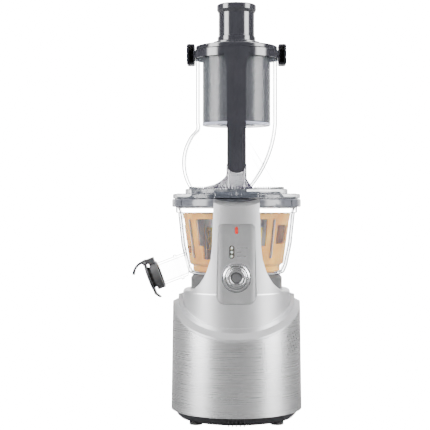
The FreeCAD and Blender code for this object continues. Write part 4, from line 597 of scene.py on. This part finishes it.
# a thin flat mark from an outline of (x, z), between two depths
def flatMark(name, outline, finish, body, place, front, back):
    count = len(outline)
    points = [place @ Vector((x, front, z)) for x, z in outline]
    points += [place @ Vector((x, back, z)) for x, z in outline]
    faces = [list(range(count)), list(range(2 * count - 1, count - 1, -1))]
    for i in range(count):
        k = (i + 1) % count
        faces.append([i, k, k + count, i + count])
    return newPiece(name, points, faces, finish, body, 40)


# a rectangle with round ends
def pillOutline(x, z, width, height, steps=8):
    radius = min(width, height) / 2
    outline = []
    for sideX, sideZ, start in ((1, 1, 0), (-1, 1, 90), (-1, -1, 180), (1, -1, 270)):
        for step in range(steps + 1):
            turn = math.radians(start + 90 * step / steps)
            cornerX = x + sideX * (width / 2 - radius)
            cornerZ = z + sideZ * (height / 2 - radius)
            outline.append((cornerX + radius * math.cos(turn), cornerZ + radius * math.sin(turn)))
    return outline


# closed outlines of (radius, depth[, rounding]), and the sign in the middle
dialSettings = {
    "dish": [(0, -1.45), (5.7, -1.5), (6.5, -2.2, 0.2), (6.9, -2.65, 0.2), (8.5, -2.65, 0.3), (8.9, -1.9),
             (9.3, -1.9), (9.6, -2.5, 0.2), (10.3, -2.3, 0.3), (10.3, -1.3), (0, -0.95)],
    "lens": [(0, -2.0), (5.0, -1.85, 0.4), (6.05, -1.46), (0, -1.3)],
    "lensStretch": (1.07, 0.94),
    "sign": [(1.15, -2.02), (1.65, -2.02), (1.65, -1.9), (1.15, -1.9)],
    "signMarks": ((0.0, 3.1, 1.8, 0.55), (0.0, -3.1, 2.6, 0.55)),  # x, z, width, height
    "markFront": -2.05,
    "markBack": -1.85,
    # the outline of a flat dark ring, painted shade of the groove round the dial
    "rim": [(13.75, -0.1), (14.6, -0.1, 0.15), (14.6, 0.25), (13.75, 0.25)],
}
makePanel()
turnedFront("control_dish", rounded(dialSettings["dish"]), "ring", "rocker")
turnedFront("control_lens", rounded(dialSettings["lens"]), "lensDark", "rocker", dialSettings["lensStretch"])
turnedFront("control_sign", rounded(dialSettings["sign"]), "signGrey", "rocker", sides=40)
# a flat dark ring round the dial is painted shade of the groove there
turnedFront("control_groove_shade", rounded(dialSettings["rim"]), "ink", "base", sides=96)
for number, (x, z, width, height) in enumerate(dialSettings["signMarks"]):
    outline = pillOutline(x, z, width, height)
    name = "control_mark_%d" % (number + 1)
    front, back = dialSettings["markFront"], dialSettings["markBack"]
    flatMark(name, outline, "signGrey", "rocker", onPanel, front, back)

# plain printed bars beside the three lamps, in rows of (height, width)
barSettings = {
    "left": 0.6,
    "tall": 0.95,
    "front": -0.05,
    "back": 0.1,
    "rows": ((184.0, 11.0), (179.8, 4.2), (175.6, 9.2)),
}
for number, (height, width) in enumerate(barSettings["rows"]):
    middle = barSettings["left"] + width / 2
    outline = pillOutline(middle, height - controlSettings["height"], width, barSettings["tall"])
    front, back = barSettings["front"], barSettings["back"]
    flatMark("lamp_bar_%d" % (number + 1), outline, "ink", "base", onPanel, front, back)
print("column pieces made")

# the lock sign on the tab's sloping front: an arrow that points down, and a tick at each side
signSettings = {
    "low": Vector((0, -69.0, 237.0)),
    "high": Vector((0, -63.0, 241.5)),
    "front": -0.08,
    "back": 0.05,
    "arrow": [(-0.8, 7.0), (-0.8, 3.6), (-2.3, 3.6), (0, 0.7), (2.3, 3.6), (0.8, 3.6), (0.8, 7.0)],
    "tick": (5.0, 2.6, 0.9, 2.8),  # x, z, width, height
}


def makeLockSign():
    up = (signSettings["high"] - signSettings["low"]).normalized()
    out = Vector((0, -up.z, up.y))
    place = Matrix(((1, 0, 0), (0, -out.y, up.y), (0, -out.z, up.z))).to_4x4()
    place.translation = signSettings["low"]
    front, back = signSettings["front"], signSettings["back"]
    flatMark("lock_arrow", signSettings["arrow"], "white", "hopper", place, front, back)
    x, z, width, height = signSettings["tick"]
    for side, name in ((-1, "lock_tick_left"), (1, "lock_tick_right")):
        tick = pillOutline(side * x, z, width, height)
        flatMark(name, tick, "white", "hopper", place, front, back)


makeLockSign()

# the pale soft edge under the large pusher
bandOutline = rounded([(30.6, 312.7, 0.8), (36.1, 312.7, 0.8), (36.1, 314.9, 0.3), (30.6, 314.9)])
lathe("pusher_band", bandOutline, "pale", "large_pusher")


# ---- what repeats is made with Geometry Nodes ----
# a Geometry Nodes tree with one named input for each value
def nodeTree(name, values):
    tree = bpy.data.node_groups.new(name, "GeometryNodeTree")
    build = Paint(name, tree)
    identifiers = {}
    for label, value in values.items():
        kind = "NodeSocketInt" if isinstance(value, int) else "NodeSocketFloat"
        socket = tree.interface.new_socket(label, in_out="INPUT", socket_type=kind)
        socket.default_value = value
        identifiers[label] = socket.identifier
    tree.interface.new_socket("Geometry", in_out="OUTPUT", socket_type="NodeSocketGeometry")
    start = tree.nodes.new("NodeGroupInput")
    given = {label: Wire(build, start.outputs[label]) for label in values}
    return tree, build, given, identifiers


def finishTree(build, shape, finish):
    real = build.add("GeometryNodeRealizeInstances", None, {"Geometry": shape})
    coated = build.add("GeometryNodeSetMaterial", None, {"Geometry": real, "Material": finishes[finish]})
    end = build.tree.nodes.new("NodeGroupOutput")
    build.tree.links.new(coated.link, end.inputs[0])


# runs a tree on an empty mesh and gives the result as a plain mesh
def growMesh(name, tree, identifiers, values):
    holder = bpy.data.objects.new(name + "_seed", bpy.data.meshes.new(name + "_seed"))
    bpy.context.scene.collection.objects.link(holder)
    grow = holder.modifiers.new("grow", "NODES")
    grow.node_group = tree
    for label, value in values.items():
        grow[identifiers[label]] = value
    graph = bpy.context.evaluated_depsgraph_get()
    mesh = bpy.data.meshes.new_from_object(holder.evaluated_get(graph))
    holder.modifiers.clear()
    bpy.data.objects.remove(holder)
    mesh.name = name
    return mesh


# merges doubles and turns the faces outwards
def closeMesh(mesh, reach):
    shape = bmesh.new()
    shape.from_mesh(mesh)
    bmesh.ops.remove_doubles(shape, verts=shape.verts, dist=reach)
    bmesh.ops.recalc_face_normals(shape, faces=shape.faces)
    shape.to_mesh(mesh)
    shape.free()


# the perforated sleeve of the strainer: a sheet of tiles, each with an opening, rolled into a cone
sieveSettings = {
    "Around": 108,
    "Rows": 12,
    "Open": 0.52,
    "Low": 177.0 * mm,
    "High": 207.0 * mm,
    "LowRadius": 33.45 * mm,
    "HighRadius": 36.4 * mm,
}
sieveWall = 0.5 * mm


def makeSieve():
    tree, build, given, identifiers = nodeTree("sieve", sieveSettings)
    values = {
        "Size X": 1.0,
        "Size Y": 1.0,
        "Vertices X": given["Around"] + 1,
        "Vertices Y": given["Rows"] + 1,
    }
    sheet = build.add("GeometryNodeMeshGrid", None, values)
    lifted = build.add("GeometryNodeExtrudeMesh", {"mode": "FACES"}, {"Mesh": sheet, "Offset Scale": 0.0})
    tops = Wire(build, lifted.link.node.outputs["Top"])
    values = {"Geometry": lifted, "Selection": tops, "Scale": given["Open"]}
    narrowed = build.add("GeometryNodeScaleElements", None, values)
    values = {"Geometry": narrowed, "Selection": tops}
    pierced = build.add("GeometryNodeDeleteGeometry", {"domain": "FACE"}, values)
    place = build.add("GeometryNodeInputPosition")
    split = build.add("ShaderNodeSeparateXYZ", None, {0: place}).link.node
    turn = Wire(build, split.outputs[0]) * (2 * math.pi)
    share = Wire(build, split.outputs[1]) + 0.5
    radius = given["LowRadius"] + (given["HighRadius"] - given["LowRadius"]) * share
    height = given["Low"] + (given["High"] - given["Low"]) * share
    x = build.work("COSINE", turn) * radius
    y = build.work("SINE", turn) * radius + driveY
    spot = build.add("ShaderNodeCombineXYZ", None, {0: x, 1: y, 2: height})
    rolled = build.add("GeometryNodeSetPosition", None, {"Geometry": pierced, "Position": spot})
    finishTree(build, rolled, "gold")
    mesh = growMesh("sieve", tree, identifiers, sieveSettings)
    closeMesh(mesh, 0.01 * mm)
    piece = finishPiece("sieve_sleeve", mesh, "gold", "bowl", 40)
    wall = piece.modifiers.new("wall", "SOLIDIFY")
    wall.thickness = sieveWall
    wall.offset = -1
    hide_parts("strainer_mesh")


makeSieve()

# a ring of small teeth, pointed upwards, about the drive axis
crownSettings = {
    "flange_teeth": {
        "Count": 96,
        "Radius": 50.6 * mm,
        "Height": 246.0 * mm,
        "Width": 1.25 * mm,
        "Tall": 2.4 * mm,
    },
    "rim_grips": {
        "Count": 72,
        "Radius": 63.6 * mm,
        "Height": 239.8 * mm,
        "Width": 1.0 * mm,
        "Tall": 0.7 * mm,
    },
}
toothTip = 0.45  # a tooth's top against its foot


def makeCrown(name, finish, body):
    sizes = crownSettings[name]
    tree, build, given, identifiers = nodeTree(name, sizes)
    values = {
        "Vertices": 4,
        "Side Segments": 1,
        "Radius Top": given["Width"] * toothTip,
        "Radius Bottom": given["Width"],
        "Depth": given["Tall"],
    }
    tooth = build.add("GeometryNodeMeshCone", None, values)
    values = {"Vertices": given["Count"], "Radius": given["Radius"]}
    ring = build.add("GeometryNodeMeshCircle", None, values)
    number = build.add("GeometryNodeInputIndex")
    turn = number * (2 * math.pi) / given["Count"] + math.pi / 4  # a flat side faces outwards
    rotation = build.add("ShaderNodeCombineXYZ", None, {0: 0.0, 1: 0.0, 2: turn})
    values = {"Points": ring, "Instance": tooth, "Rotation": rotation}
    spread = build.add("GeometryNodeInstanceOnPoints", None, values)
    foot = given["Height"] - given["Tall"] * 0.5
    lift = build.add("ShaderNodeCombineXYZ", None, {0: 0.0, 1: driveY, 2: foot})
    moved = build.add("GeometryNodeTransform", None, {"Geometry": spread, "Translation": lift})
    finishTree(build, moved, finish)
    mesh = growMesh(name, tree, identifiers, sizes)
    closeMesh(mesh, 0.005 * mm)
    piece = finishPiece(name, mesh, finish, body, 25)


for crown in crownSettings:
    makeCrown(crown, "tinted", "hopper")
print("repeated pieces made")

rimSettings = {"low": 224.5, "high": 234.5}


# the bowl's rim is a darker band of the same moulding
def bandFaces(piece, finish, low, high):
    piece.data.materials.append(finishes[finish])
    last = len(piece.data.materials) - 1
    for face in piece.data.polygons:
        if low * mm < face.center.z < high * mm:
            face.material_index = last


bowlWall = standIn("juicing_bowl", "clear", 40, "bowl_wall")
bandFaces(bowlWall, "rimBand", rimSettings["low"], rimSettings["high"])
print("dark bands set")


# ---- floor, light and surroundings ----
floorPaint = Paint("floor_paint")
speck = floorPaint.noise(40.0, 2.0)
sight = floorPaint.add("ShaderNodeLightPath", output="Is Camera Ray")
floorBase = floorPaint.principled(floorPaint.mix(speck, grey(0.16), grey(0.17)), 0.8)
glowValues = {"glow": grey(1.0), "glowStrength": 16.0}  # what the camera sees directly
floorGlow = floorPaint.principled(floorPaint.mix(speck, grey(0.93), grey(0.95)), 0.8, **glowValues)
floorMaterial = floorPaint.done(floorPaint.blend(sight, floorBase, floorGlow))

floorSettings = {"reach": 6.0, "sides": 96}
floorMesh = bpy.data.meshes.new("floor")
floorShape = bmesh.new()
floorSides, floorReach = floorSettings["sides"], floorSettings["reach"]
bmesh.ops.create_circle(floorShape, cap_ends=True, segments=floorSides, radius=floorReach)
floorShape.to_mesh(floorMesh)
floorShape.free()
floorMesh.materials.append(floorMaterial)
floorPiece = bpy.data.objects.new("floor", floorMesh)
bpy.context.scene.collection.objects.link(floorPiece)

# a bright wall behind the juicer, two tall soft boxes at its sides and a dim wall in front, in degrees
roomSettings = {
    "boxTurn": 68,
    "boxSpread": 17,
    "boxCore": 0.55,
    "boxFade": 1.15,
    "backFrom": 125,
    "backFull": 155,
    "topFrom": 0.6,
    "topFull": 0.9,
    "boxPower": 23.0,
    "backPower": 3.0,
    "fillPower": 0.03,
    "topPower": 0.7,
    "sightPower": 22.0,
}
world = bpy.data.worlds.new("studio")
bpy.context.scene.world = world
world.use_nodes = True
room = Paint("studio", world.node_tree)
direction = room.add("ShaderNodeTexCoord", output="Generated")
split = room.add("ShaderNodeSeparateXYZ", None, {0: direction}).link.node
xWire, yWire, zWire = [Wire(room, split.outputs[i]) for i in range(3)]
turn = room.work("ARCTAN2", abs(xWire), yWire * -1.0)
boxMiddle = math.radians(roomSettings["boxTurn"])
boxSpread = math.radians(roomSettings["boxSpread"])
offBox = abs(turn - boxMiddle)
box = 1.0 - offBox.clear(boxSpread * roomSettings["boxCore"], boxSpread * roomSettings["boxFade"])
behind = turn.clear(math.radians(roomSettings["backFrom"]), math.radians(roomSettings["backFull"]))
above = zWire.clear(roomSettings["topFrom"], roomSettings["topFull"])
level = 1.0 - above
power = box * roomSettings["boxPower"] + behind * roomSettings["backPower"] + roomSettings["fillPower"]
power = power * level + above * roomSettings["topPower"]
seen = room.add("ShaderNodeLightPath", output="Is Camera Ray")
power = power * (1.0 - seen) + seen * roomSettings["sightPower"]
sky = room.add("ShaderNodeBackground", None, {"Color": (1.0, 1.0, 1.0, 1.0), "Strength": power})
roomOut = room.tree.nodes.new("ShaderNodeOutputWorld")
room.tree.links.new(sky.link, roomOut.inputs["Surface"])

# two weak lamps in front, by name, place, size and watts
keySettings = [
    ("key_left", (-1.3, -0.9, 1.1), 0.9, 0.5),
    ("key_right", (1.5, -0.8, 0.9), 0.8, 0.4),
]
aimOfLamps = Vector((0, 0, 0.2))
for lampName, spot, size, watts in keySettings:
    lamp = bpy.data.lights.new(lampName, "AREA")
    lamp.shape = "DISK"
    lamp.size = size
    lamp.energy = watts
    holder = bpy.data.objects.new(lampName, lamp)
    holder.location = spot
    holder.rotation_euler = (aimOfLamps - Vector(spot)).to_track_quat("-Z", "Y").to_euler()
    bpy.context.scene.collection.objects.link(holder)
print("floor and studio light made")
